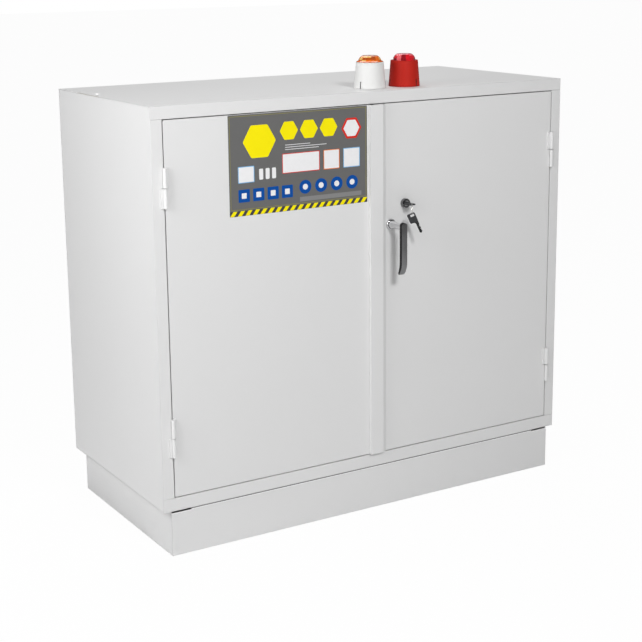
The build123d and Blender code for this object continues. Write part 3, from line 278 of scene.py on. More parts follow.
def outer_coat():
    looks = bpy.context.scene.cabinet_finishes
    return finish("grey_powder_coat", looks.coat, 0.42, tone=0.02, tone_size=2.0,
                  grain=looks.coat_grain, gloss=0.05, bump=0.06, edge=looks.edge_round)


def inner_coat():
    looks = bpy.context.scene.cabinet_finishes
    return finish("lining_powder_coat", looks.inner_coat, 0.48, tone=0.03, grain=looks.coat_grain,
                  bump=0.08, edge=looks.edge_round)


def zinc():
    return finish("zinc_plate", (0.62, 0.63, 0.64), 0.34, tone=0.12, tone_size=160.0,
                  grain=1400.0, gloss=0.12, bump=0.08, edge=0.0004, Metallic=1.0)


def chrome():
    return finish("polished_chrome", (0.74, 0.74, 0.75), 0.10, tone=0.03, tone_size=60.0,
                  grain=900.0, gloss=0.05, bump=0.02, Metallic=1.0)


def smoked_chrome():
    return finish("smoked_chrome", (0.30, 0.30, 0.305), 0.20, tone=0.9, tone_size=26.0,
                  grain=900.0, gloss=0.08, bump=0.02, stretch=(1.6, 1, 0.8), Metallic=1.0)


def dark_chrome():
    return finish("dark_chrome", (0.19, 0.19, 0.195), 0.10, tone=0.7, tone_size=110.0,
                  grain=900.0, gloss=0.06, bump=0.02, Metallic=1.0)


def black_painted_shade_and_reflection():
    return finish("black_painted_shade_and_reflection", (0.012, 0.012, 0.013), 0.30, tone=0.3, tone_size=40.0,
                  grain=1200.0, bump=0.03, Specular_IOR_Level=0.15)


def steel_blade():
    return finish("nickel_steel", (0.66, 0.65, 0.62), 0.24, tone=0.06, tone_size=200.0,
                  grain=1800.0, gloss=0.12, bump=0.06, stretch=(1, 1, 0.2), Metallic=1.0)


def dark_plastic():
    return finish("charcoal_plastic", (0.030, 0.031, 0.034), 0.42, tone=0.10, tone_size=90.0,
                  grain=1600.0, bump=0.15, edge=0.0006)


def black_plastic():
    return finish("black_moulding", (0.035, 0.035, 0.038), 0.45, tone=0.08, tone_size=40.0,
                  grain=1500.0, bump=0.18, edge=0.0006)


def white_plastic():
    return finish("white_moulding", (0.80, 0.80, 0.79), 0.6, tone=0.02, tone_size=20.0,
                  grain=1200.0, bump=0.06, edge=0.0006, Specular_IOR_Level=0.2)


def red_plastic():
    looks = bpy.context.scene.cabinet_finishes
    return finish("red_moulding", looks.red, 0.55, tone=0.05, tone_size=30.0, grain=1200.0,
                  bump=0.06, edge=0.0006, Specular_IOR_Level=0.15)


def ink(name, color):
    """A printed ink on film, with the faint mottle of a print."""
    return finish(name, color, 0.45, tone=0.05, tone_size=120.0, grain=2500.0, bump=0.03,
                  Specular_IOR_Level=0.2)


# ------------------------------------------------------------------ mesh helpers
def linked(name, data):
    """A new object in the scene."""
    piece = bpy.data.objects.new(name, data)
    bpy.context.scene.collection.objects.link(piece)
    return piece


def made(name, mesh, body, materials, slot=None):
    """Link a finished mesh as a piece on a body."""
    piece = linked(name, mesh)
    if mesh.materials:
        mesh.materials.clear()
    for material in materials:
        mesh.materials.append(material)
    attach(piece, body)
    return piece


def to_mesh(name, builder, smooth=30.0):
    """Write a bmesh out with its normals outward and its sharp edges kept."""
    bmesh.ops.remove_doubles(builder, verts=builder.verts, dist=1e-7)
    bmesh.ops.recalc_face_normals(builder, faces=builder.faces)
    mesh = bpy.data.meshes.new(name)
    builder.to_mesh(mesh)
    builder.free()
    for polygon in mesh.polygons:
        polygon.use_smooth = True
    mesh.set_sharp_from_angle(angle=math.radians(smooth))
    return mesh


def piece_from(name, builder, body, materials, slot=None, smooth=30.0):
    """Turn a bmesh into a piece of the same name on a body."""
    return made(name, to_mesh(name, builder, smooth), body, materials, slot)


def evaluated(carrier):
    """The mesh of an object after its modifiers; the object itself is removed."""
    bpy.context.view_layer.update()
    graph = bpy.context.evaluated_depsgraph_get()
    mesh = bpy.data.meshes.new_from_object(carrier.evaluated_get(graph), depsgraph=graph)
    bpy.data.objects.remove(carrier)
    return mesh


def rounded_copy(node, width, segments=3, flat=4.0, sharp=28.0):
    """A merged copy of a CAD node with its edges rounded."""
    builder = bmesh.new()
    builder.from_mesh(NODES[node].data)
    bmesh.ops.remove_doubles(builder, verts=builder.verts, dist=1e-6)
    bmesh.ops.dissolve_limit(builder, angle_limit=math.radians(flat), verts=builder.verts,
                             edges=builder.edges)
    mesh = bpy.data.meshes.new(node)
    builder.to_mesh(mesh)
    builder.free()
    carrier = linked("carrier", mesh)
    bevel = carrier.modifiers.new("Bevel", "BEVEL")
    bevel.width, bevel.segments, bevel.limit_method = width, segments, "ANGLE"
    bevel.angle_limit, bevel.harden_normals = math.radians(sharp), False
    mesh = evaluated(carrier)
    for polygon in mesh.polygons:
        polygon.use_smooth = True
    mesh.set_sharp_from_angle(angle=math.radians(40))
    return mesh


def lathe(builder, centre, profile, sides, turn=0.0):
    """Turn a profile of (radius, height) about a vertical axis; the ends close on the axis."""
    rings = []
    for radius, height in profile:
        if radius <= 1e-9:
            rings.append([builder.verts.new((centre[0], centre[1], centre[2] + height))])
            continue
        ring = []
        for index in range(sides):
            angle = turn + 2 * math.pi * index / sides
            ring.append(builder.verts.new((centre[0] + radius * math.cos(angle),
                                           centre[1] + radius * math.sin(angle),
                                           centre[2] + height)))
        rings.append(ring)
    for low, high in zip(rings, rings[1:]):
        for index in range(sides):
            after = (index + 1) % sides
            corners = [low[index % len(low)], low[after % len(low)],
                       high[after % len(high)], high[index % len(high)]]
            corners = list(dict.fromkeys(corners))
            if len(corners) > 2:
                builder.faces.new(corners)


def wall(builder, low, high):
    """Close the gap between two rings of as many vertices."""
    count = len(low)
    return [builder.faces.new((low[k], low[(k + 1) % count], high[(k + 1) % count], high[k]))
            for k in range(count)]


def plate(builder, outline, place, thickness, index=0):
    """Raise a flat outline of (u, v) points by a thickness; place puts u, v, w in space."""
    front = [builder.verts.new(place @ Vector((u, v, thickness))) for u, v in outline]
    back = [builder.verts.new(place @ Vector((u, v, 0))) for u, v in outline]
    ends = [builder.faces.new(front), builder.faces.new(back[::-1])]
    for face in ends + wall(builder, back, front):
        face.material_index = index


def band(builder, outer, inner, place, thickness, index=0):
    """A closed band between two outlines with as many points each."""
    for here in range(len(outer)):
        after = (here + 1) % len(outer)
        plate(builder, [outer[here], outer[after], inner[after], inner[here]], place,
              thickness, index)


def circle(u, v, radius, sides=36):
    return [(u + radius * math.cos(2 * math.pi * k / sides),
             v + radius * math.sin(2 * math.pi * k / sides)) for k in range(sides)]


def rounded(points, radius, steps=5):
    """The outline of a convex polygon, counter-clockwise, with rounded corners."""
    outline = []
    for here, (u, v) in enumerate(points):
        corner = Vector((u, v))
        before = (Vector(points[here - 1]) - corner).normalized()
        after = (Vector(points[(here + 1) % len(points)]) - corner).normalized()
        half = before.angle(after) / 2
        centre = corner + (before + after).normalized() * (radius / math.sin(half))
        start = corner + before * (radius / math.tan(half)) - centre
        end = corner + after * (radius / math.tan(half)) - centre
        turn = start.angle(end)
        for step in range(steps + 1):
            angle = turn * step / steps
            spun = Vector((start.x * math.cos(angle) - start.y * math.sin(angle),
                           start.x * math.sin(angle) + start.y * math.cos(angle)))
            outline.append(tuple(centre + spun))
    return outline


def box_points(u0, v0, u1, v1):
    return [(u0, v0), (u1, v0), (u1, v1), (u0, v1)]


def hexagon(u, v, radius):
    return rounded(circle(u, v, radius, 6), radius * 0.12, 3)


def facing_front(x, y, z):
    """Local u, v, w become the cabinet's x, z and forwards."""
    return Matrix.Translation((x, y, z)) @ Matrix.Rotation(math.pi / 2, 4, "X")


def axes_at(origin, right, up, out):
    """A place whose local x, y and z run along three directions."""
    return Matrix.Translation(origin) @ Matrix((right, up, out)).transposed().to_4x4()


def box(builder, low, high, index=0):
    """A plain box between two corners."""
    plate(builder, box_points(low[0], low[1], high[0], high[1]),
          Matrix.Translation((0, 0, low[2])), high[2] - low[2], index)


# ------------------------------------------------------------------ geometry-node trees
def new_tree(name, *inputs):
    """A geometry-node tree with its named inputs: the tree, its link call and its two ends."""
    tree = bpy.data.node_groups.new(name, "GeometryNodeTree")
    for way in ("INPUT", "OUTPUT"):
        tree.interface.new_socket("Geometry", in_out=way, socket_type="NodeSocketGeometry")
    for label, kind, default in inputs:
        socket = tree.interface.new_socket(label, in_out="INPUT", socket_type=f"NodeSocket{kind}")
        if default is not None:
            socket.default_value = default
    return tree, tree.links.new, add(tree, "NodeGroupInput"), add(tree, "NodeGroupOutput")


def run_tree(tree, settings, points=()):
    """Bake a geometry-node tree on a mesh of points and remove its modifier."""
    carrier_mesh = bpy.data.meshes.new("points")
    carrier_mesh.from_pydata([tuple(p) for p in points], [], [])
    carrier = linked("carrier", carrier_mesh)
    modifier = carrier.modifiers.new("Nodes", "NODES")
    modifier.node_group = tree
    for socket in tree.interface.items_tree:
        if socket.in_out == "INPUT" and socket.name in settings:
            modifier[socket.identifier] = settings[socket.name]
    return evaluated(carrier)


def stripe_tree():
    """A row of slanted stripes along U, each a sheared sheet with a thickness."""
    tree, link, source, result = new_tree(
        "slanted_stripes", ("Count", "Int", 20), ("Pitch", "Float", 0.015),
        ("Stripe Width", "Float", 0.007), ("Height", "Float", 0.01),
        ("Thickness", "Float", 0.0001), ("Slant", "Float", 0.8), ("Material", "Material", None))
    step = add(tree, "ShaderNodeCombineXYZ")
    link(source.outputs["Pitch"], step.inputs["X"])
    line = add(tree, "GeometryNodeMeshLine", mode="OFFSET")
    link(source.outputs["Count"], line.inputs["Count"])
    link(step.outputs[0], line.inputs["Offset"])
    size = add(tree, "ShaderNodeCombineXYZ")
    link(source.outputs["Stripe Width"], size.inputs["X"])
    link(source.outputs["Height"], size.inputs["Y"])
    link(source.outputs["Thickness"], size.inputs["Z"])
    sheet = add(tree, "GeometryNodeMeshCube")
    link(size.outputs[0], sheet.inputs["Size"])
    position = add(tree, "GeometryNodeInputPosition")
    split = add(tree, "ShaderNodeSeparateXYZ")
    link(position.outputs[0], split.inputs[0])
    lean = add(tree, "ShaderNodeMath", operation="MULTIPLY")
    link(split.outputs["Y"], lean.inputs[0])
    link(source.outputs["Slant"], lean.inputs[1])
    offset = add(tree, "ShaderNodeCombineXYZ")
    link(lean.outputs[0], offset.inputs["X"])
    shear = add(tree, "GeometryNodeSetPosition")
    link(sheet.outputs["Mesh"], shear.inputs["Geometry"])
    link(offset.outputs[0], shear.inputs["Offset"])
    copies = add(tree, "GeometryNodeInstanceOnPoints")
    link(line.outputs["Mesh"], copies.inputs["Points"])
    link(shear.outputs["Geometry"], copies.inputs["Instance"])
    whole = add(tree, "GeometryNodeRealizeInstances")
    link(copies.outputs["Instances"], whole.inputs["Geometry"])
    painted = add(tree, "GeometryNodeSetMaterial")
    link(whole.outputs["Geometry"], painted.inputs["Geometry"])
    link(source.outputs["Material"], painted.inputs["Material"])
    link(painted.outputs["Geometry"], result.inputs["Geometry"])
    return tree


def screw_tree():
    """Domed screw heads on the points, all facing one way, each with a dark hexagon on top: painted
    shade standing for a hexagon recess.
    """
    tree, link, source, result = new_tree(
        "screw_heads", ("Head Radius", "Float", 0.0036), ("Head Height", "Float", 0.0016),
        ("Facing", "Vector", (0, 0, 0)), ("Material", "Material", None),
        ("Recess Shade Material", "Material", None))

    def share(name, factor):
        node = add(tree, "ShaderNodeMath", operation="MULTIPLY")
        link(source.outputs[name], node.inputs[0])
        node.inputs[1].default_value = factor
        return node.outputs[0]

    def cone(sides, top, bottom, height, lift, material):
        body = add(tree, "GeometryNodeMeshCone")
        body.inputs["Vertices"].default_value = sides
        link(top, body.inputs["Radius Top"])
        link(bottom, body.inputs["Radius Bottom"])
        link(height, body.inputs["Depth"])
        moved = add(tree, "GeometryNodeTransform")
        up = add(tree, "ShaderNodeCombineXYZ")
        link(lift, up.inputs["Z"])
        link(up.outputs[0], moved.inputs["Translation"])
        link(body.outputs["Mesh"], moved.inputs["Geometry"])
        painted = add(tree, "GeometryNodeSetMaterial")
        link(moved.outputs["Geometry"], painted.inputs["Geometry"])
        link(source.outputs[material], painted.inputs["Material"])
        return painted.outputs["Geometry"]

    radius, height = source.outputs["Head Radius"], source.outputs["Head Height"]
    flange = cone(20, share("Head Radius", 0.94), radius, share("Head Height", 0.4),
                  share("Head Height", 0.0), "Material")
    dome = cone(20, share("Head Radius", 0.66), share("Head Radius", 0.94),
                share("Head Height", 0.6), share("Head Height", 0.4), "Material")
    # The dark hexagon is painted shade for the screw's recess.
    recess = cone(6, share("Head Radius", 0.4), share("Head Radius", 0.4),
                  share("Head Height", 0.1), share("Head Height", 1.0), "Recess Shade Material")
    joined = add(tree, "GeometryNodeJoinGeometry")
    for part in (flange, dome, recess):
        link(part, joined.inputs["Geometry"])
    copies = add(tree, "GeometryNodeInstanceOnPoints")
    link(source.outputs["Geometry"], copies.inputs["Points"])
    link(joined.outputs["Geometry"], copies.inputs["Instance"])
    turn = add(tree, "FunctionNodeEulerToRotation")
    link(source.outputs["Facing"], turn.inputs["Euler"])
    link(turn.outputs["Rotation"], copies.inputs["Rotation"])
    whole = add(tree, "GeometryNodeRealizeInstances")
    link(copies.outputs["Instances"], whole.inputs["Geometry"])
    link(whole.outputs["Geometry"], result.inputs["Geometry"])
    return tree


# ------------------------------------------------------------------ pieces
class CABINET_OT_coat(bpy.types.Operator):
    """Give every carried-over CAD node its finish."""

    bl_idname = "cabinet.coat"
    bl_label = "Finish the CAD pieces"

    def execute(self, context):
        looks = context.scene.cabinet_finishes
        by_slot = {
            "light_grey_powder_coat": outer_coat(), "inner_powder_coat": inner_coat(),
            "insulation_board": finish("mineral_board", (0.66, 0.63, 0.55), 0.85, tone=0.2,
                                       tone_size=60.0, grain=500.0, bump=0.5, depth=0.0006),
            "seal_rubber": finish("door_seal_rubber", (0.028, 0.028, 0.029), 0.62, tone=0.1,
                                  grain=900.0, bump=0.2),
            "zinc_plated_steel": zinc(), "bright_chrome": chrome(),
            "dark_plastic": dark_plastic(), "black_plastic": black_plastic(),
            "white_plastic": white_plastic(), "red_plastic": red_plastic(),
            "amber_lens": finish("amber_core", looks.amber, 0.3, tone=0.1),
            "red_lens": finish("red_core", (0.8, 0.01, 0.02), 0.3, tone=0.1),
        }
        slots = {node: entry["name"] for entry in frame["record"]["materials"]
                 for node in entry.get("nodes", [])}
        for node, piece in NODES.items():
            current = piece.data.materials[0].name if piece.data.materials else ""
            name = slots.get(node) or next((s for s in by_slot if current.startswith(s)), None)
            if name is None:
                raise RuntimeError(f"{node} has no finish: {current}")
            for slot in piece.material_slots:
                slot.link = "OBJECT"
                slot.material = by_slot[name]
        return {"FINISHED"}


class CABINET_OT_printed_panel(bpy.types.Operator):
    """Lay the printed panel on the left door."""

    bl_idname = "cabinet.printed_panel"
    bl_label = "Printed panel"

    def execute(self, context):
        panel = context.scene.cabinet_panel
        skin_low, skin_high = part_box("left_door_skin")
        lip_low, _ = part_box("right_door_skin")
        face = skin_low[1]
        right = lip_low[0] - panel.from_lip
        top = skin_high[2] - panel.from_top
        origin = Vector((right - panel.width, face, top - panel.height))
        film, print_depth = 0.00025, 0.00006

        def layer(lift):
            return facing_front(*(origin + Vector((0, -lift, 0))))

        wide, high = panel.width, panel.height
        drawn_wide = 354.0
        scale = wide / drawn_wide

        def mm(points):
            return [(u * scale, v * scale) for u, v in points]

        ground = bmesh.new()
        plate(ground, rounded(box_points(0, 0, wide, high), 0.002), layer(0), film)
        piece_from("panel_ground", ground, "left_door", [ink("panel_grey", panel.ground)])

        first, second = layer(film), layer(film + print_depth)
        shapes = bmesh.new()
        colors = [ink("print_yellow", (1.0, 0.86, 0.0)), ink("print_white", (0.90, 0.90, 0.91)),
                  ink("print_blue", (0.0, 0.075, 0.36)), ink("print_red", (0.72, 0.03, 0.02)),
                  ink("print_olive", (0.30, 0.27, 0.06)), ink("print_orange", (0.85, 0.20, 0.02)),
                  ink("print_sky", (0.20, 0.48, 0.80)), ink("print_mid_grey", (0.25, 0.25, 0.25))]
        yellow, white, blue, red, olive, orange, sky, mid_grey = range(8)

        def put(outline, color, place=first):
            plate(shapes, mm(outline), place, print_depth, color)

        def hoop(outer, inner, color, place=first):
            band(shapes, mm(outer), mm(inner), place, print_depth, color)

        full_high = high / scale
        edge = 3.0
        hoop(box_points(edge, 14, drawn_wide - edge, full_high - edge),
             box_points(edge + 1.0, 15, drawn_wide - edge - 1.0, full_high - edge - 1.0), olive)
        for u, v, radius in ((76, 160, 41), (150, 178, 23), (201, 178, 23), (252, 178, 23)):
            put(hexagon(u, v, radius), yellow)
        put(hexagon(312, 172, 25), white)
        hoop(hexagon(312, 172, 26.5), hexagon(312, 172, 21), red, second)
        for u0, v0, u1, v1, color in ((22, 72, 62, 108, sky), (132, 84, 228, 128, red),
                                      (238, 84, 280, 128, orange), (290, 84, 334, 128, sky)):
            card = rounded(box_points(u0, v0, u1, v1), 1.5)
            put(card, white)
            hoop(card, rounded(box_points(u0 + 1.6, v0 + 1.6, u1 - 1.6, v1 - 1.6), 1.0), color,
                 second)
        for index in range(4):
            put(rounded(box_points(22 + 36 * index, 30, 50 + 36 * index, 58), 2.0), blue)
            put(circle(190 + 41 * index, 50, 15.5), blue)
            put(circle(190 + 41 * index, 50, 6.5), white, second)
            put(rounded(box_points(30 + 36 * index, 38, 42 + 36 * index, 50), 1.0), white, second)
        for row, (start_u, stop_u) in enumerate(((140, 226), (140, 246), (140, 204))):
            put(box_points(start_u, 136 + 5 * row, stop_u, 137.2 + 5 * row), white)
        put(box_points(176, 18, 338, 28), mid_grey)
        for index in range(3):
            put(rounded(box_points(74 + 16 * index, 76, 84 + 16 * index, 100), 2.5), white)
        piece_from("panel_print", shapes, "left_door", colors)

        low, tall = 0.4 * scale, 11.0 * scale
        start, stop = 0.4 * scale, wide - 0.4 * scale
        strip = bmesh.new()
        plate(strip, box_points(start, low, stop, low + tall), first, print_depth)
        piece_from("panel_strip", strip, "left_door",
                   [ink("print_dark_grey", (0.060, 0.060, 0.065))])
        pitch = (stop - start) / panel.stripes
        mesh = run_tree(stripe_tree(), {
            "Count": panel.stripes + 2, "Pitch": pitch, "Stripe Width": pitch * 0.52,
            "Height": tall, "Thickness": print_depth, "Slant": 0.75,
            "Material": colors[yellow]}, [(0, 0, 0)])
        builder = bmesh.new()
        builder.from_mesh(mesh)
        bmesh.ops.translate(builder, verts=builder.verts,
                            vec=(start - pitch / 2, low + tall / 2, print_depth / 2))
        for at, way in ((start, (-1, 0, 0)), (stop, (1, 0, 0))):
            cut = bmesh.ops.bisect_plane(
                builder, geom=[*builder.verts, *builder.edges, *builder.faces],
                plane_co=(at, 0, 0), plane_no=way, clear_outer=True)
            rim = [e for e in cut["geom_cut"] if isinstance(e, bmesh.types.BMEdge)]
            bmesh.ops.holes_fill(builder, edges=rim)
        bmesh.ops.transform(builder, matrix=second, verts=builder.verts)
        piece_from("panel_stripes", builder, "left_door", [colors[yellow]])
        return {"FINISHED"}


def lens_glass(name, color, roughness):
    clearness = bpy.context.scene.cabinet_lenses.clearness
    return finish(name, color, roughness, tone=0.25, tone_size=90.0, grain=700.0, gloss=0.05,
                  bump=0.05, Transmission_Weight=clearness, IOR=1.49, Coat_Weight=0.35,
                  Coat_Roughness=0.05)


class CABINET_OT_beacon_lenses(bpy.types.Operator):
    """Replace the plain lenses with faceted ones over a polished metal inner optic. The facets carry
    painted highlight and painted shade, the lens tops a painted sheen, and dark plates over the body
    slits are painted shade.
    """

    bl_idname = "cabinet.beacon_lenses"
    bl_label = "Beacon lenses"

    def execute(self, context):
        lenses = context.scene.cabinet_lenses
        looks = context.scene.cabinet_finishes
        # Each lens colour comes with a darker copy (painted shade), a lighter copy (painted highlight)
        # and a lighter, pinker copy for the top (painted sheen).
        lens_colours_and_painted_light = {
            "amber": (looks.amber, (0.50, 0.085, 0.004), (1.0, 0.62, 0.16), (0.90, 0.36, 0.20)),
            "red": ((0.86, 0.004, 0.018), (0.34, 0.002, 0.010), (0.98, 0.17, 0.20),
                    (0.95, 0.085, 0.17))}
        glasses = {kind: [lens_glass(f"{kind}_lens_{name}", color, 0.14)
                          for name, color in zip(("body", "deep", "bright", "crown"), colors)]
                   for kind, colors in lens_colours_and_painted_light.items()}
        plastics = {"amber": (white_plastic(), "white_plastic"),
                    "red": (red_plastic(), "red_plastic")}
        turns, slits = {"amber": 0, "red": -38}, {"amber": -160, "red": -73}
        shadows = {"amber": (0.10, 0.10, 0.10), "red": (0.055, 0.003, 0.003)}
        radius_foot, radius_rim = 0.0365, 0.032
        reflector = finish("reflector", (0.85, 0.85, 0.86), 0.12, tone=0.05, grain=900.0,
                           Metallic=1.0)
        for kind in ("amber", "red"):
            low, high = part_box(f"{kind}_beacon_lens")
            body_low, body_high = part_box(f"{kind}_beacon_body")
            centre = Vector(((low[0] + high[0]) / 2, (low[1] + high[1]) / 2, 0))
            radius, rim, top = (high[0] - low[0]) / 2, body_high[2], high[2]
            sides = lenses.facets
            builder = bmesh.new()
            if kind == "amber":
                lathe(builder, centre, (
                    (0, rim), (radius * 0.88, rim + 0.0001), (radius, rim + 0.0006),
                    (radius, rim + 0.0013), (radius * 0.86, rim + 0.0034)), 48)
                skirt, crown = radius * 0.86, radius * 0.62
                start = rim + 0.0034
            else:
                skirt, crown = radius, radius * 0.73
                start = low[2]
                lathe(builder, centre, ((0, start), (radius * 0.995, start)), sides)
            lathe(builder, centre, (
                (skirt, start), (skirt * 0.985, rim + (top - rim) * 0.36),
                (crown + (skirt - crown) * 0.45, rim + (top - rim) * 0.74),
                (crown, top - 0.0012), (crown * 0.86, top - 0.0002), (0, top)), sides,
                math.pi / sides)
            mesh = to_mesh(f"{kind}_lens", builder, 8.0)
            for polygon in mesh.polygons:
                side = polygon.center - centre
                facet = int((math.atan2(side.y, side.x) / math.tau + 1) * sides)
                level = int((polygon.center.z - start) / (top - start) * 3)
                # Facets take the darker and lighter copies in a fixed pattern (painted shade and
                # painted highlight); the top takes the crown copy, a painted sheen.
                if polygon.center.z > top - 0.0010:
                    polygon.material_index = 3
                elif polygon.center.z > start + 0.0005:
                    polygon.material_index = (0, 2, 0, 1, 1, 0, 0, 2, 1)[(facet + 4 * level) % 9]
            piece = made(f"{kind}_faceted_lens", mesh, "cabinet", glasses[kind], f"{kind}_lens")
            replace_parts(piece, f"{kind}_beacon_lens")
            moulding = bmesh.new()
            moulding.from_mesh(NODES[f"{kind}_beacon_body"].data)
            bmesh.ops.remove_doubles(moulding, verts=moulding.verts, dist=1e-6)
            turn = Matrix.Rotation(math.radians(turns[kind]), 4, "Z")
            bmesh.ops.transform(moulding, verts=moulding.verts, matrix=(
                Matrix.Translation(centre) @ turn @ Matrix.Translation(-centre)))
            body = made(f"{kind}_moulded_body", to_mesh(f"{kind}_body", moulding, 40.0), "cabinet",
                        [plastics[kind][0]], plastics[kind][1])
            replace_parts(body, f"{kind}_beacon_body")
            # Dark plates over the three slits of each body: painted shade where the slits fall dark.
            shade, foot = bmesh.new(), 0.003
            slit_high, slit_half, shade_depth = 0.014, 0.0011, 0.0003
            lean = math.atan((radius_foot - radius_rim) / (rim - body_low[2] - foot))
            for k in range(3):
                place = (Matrix.Translation((centre.x, centre.y, body_low[2]))
                         @ Matrix.Rotation(math.radians(slits[kind] + 120 * k + 90), 4, "Z")
                         @ facing_front(0, -radius_foot + 0.0001, 0))
                plate(shade, box_points(-slit_half, 0.0002, slit_half, foot), place, shade_depth)
                place = place @ Matrix.Translation((0, foot, 0)) @ Matrix.Rotation(-lean, 4, "X")
                plate(shade, box_points(-slit_half, 0, slit_half, slit_high), place, shade_depth)
            piece_from(f"{kind}_slit_shade", shade, "cabinet",
                       [finish(f"{kind}_slit_shadow", shadows[kind], 0.8, tone=0.1)])
            optic = bmesh.new()
            base = rim + 0.0036
            lathe(optic, centre, (
                (0, base), (crown * 0.9, base), (crown * 0.7, base + 0.0018),
                (crown * 0.35, base + 0.0024), (crown * 0.3, top - 0.004), (0, top - 0.003)), 10)
            piece_from(f"{kind}_optic", optic, "cabinet", [reflector], smooth=10.0)
        return {"FINISHED"}


class CABINET_OT_lever(bpy.types.Operator):
    """Replace the lever by one with cast, rounded edges, give the lock's housing dark chrome and round
    the rosette.
    """

    bl_idname = "cabinet.lever"
    bl_label = "Lever and lock head"

    def execute(self, context):
        mesh = rounded_copy("lever", 0.0026, 4)
        low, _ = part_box("lever")
        # Faces of the grip that look forwards take smoked chrome and its other faces black: painted
        # dark reflection on the grip's sides.
        for polygon in mesh.polygons:
            if polygon.center.y < low[1] + 0.010 or polygon.center.z < low[2] + 0.045:
                polygon.material_index = 1 if polygon.normal.y < -0.35 else 2
        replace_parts(made("cast_lever", mesh, "handle", [chrome(), smoked_chrome(), black_painted_shade_and_reflection()],
                         "bright_chrome"), "lever")
        for slot in NODES["lock_housing"].material_slots:
            slot.material = dark_chrome()
        mesh = rounded_copy("rosette", 0.0008, 3)
        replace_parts(made("turned_rosette", mesh, BODY_OF["rosette"], [chrome()],
                         "bright_chrome"), "rosette")
        return {"FINISHED"}


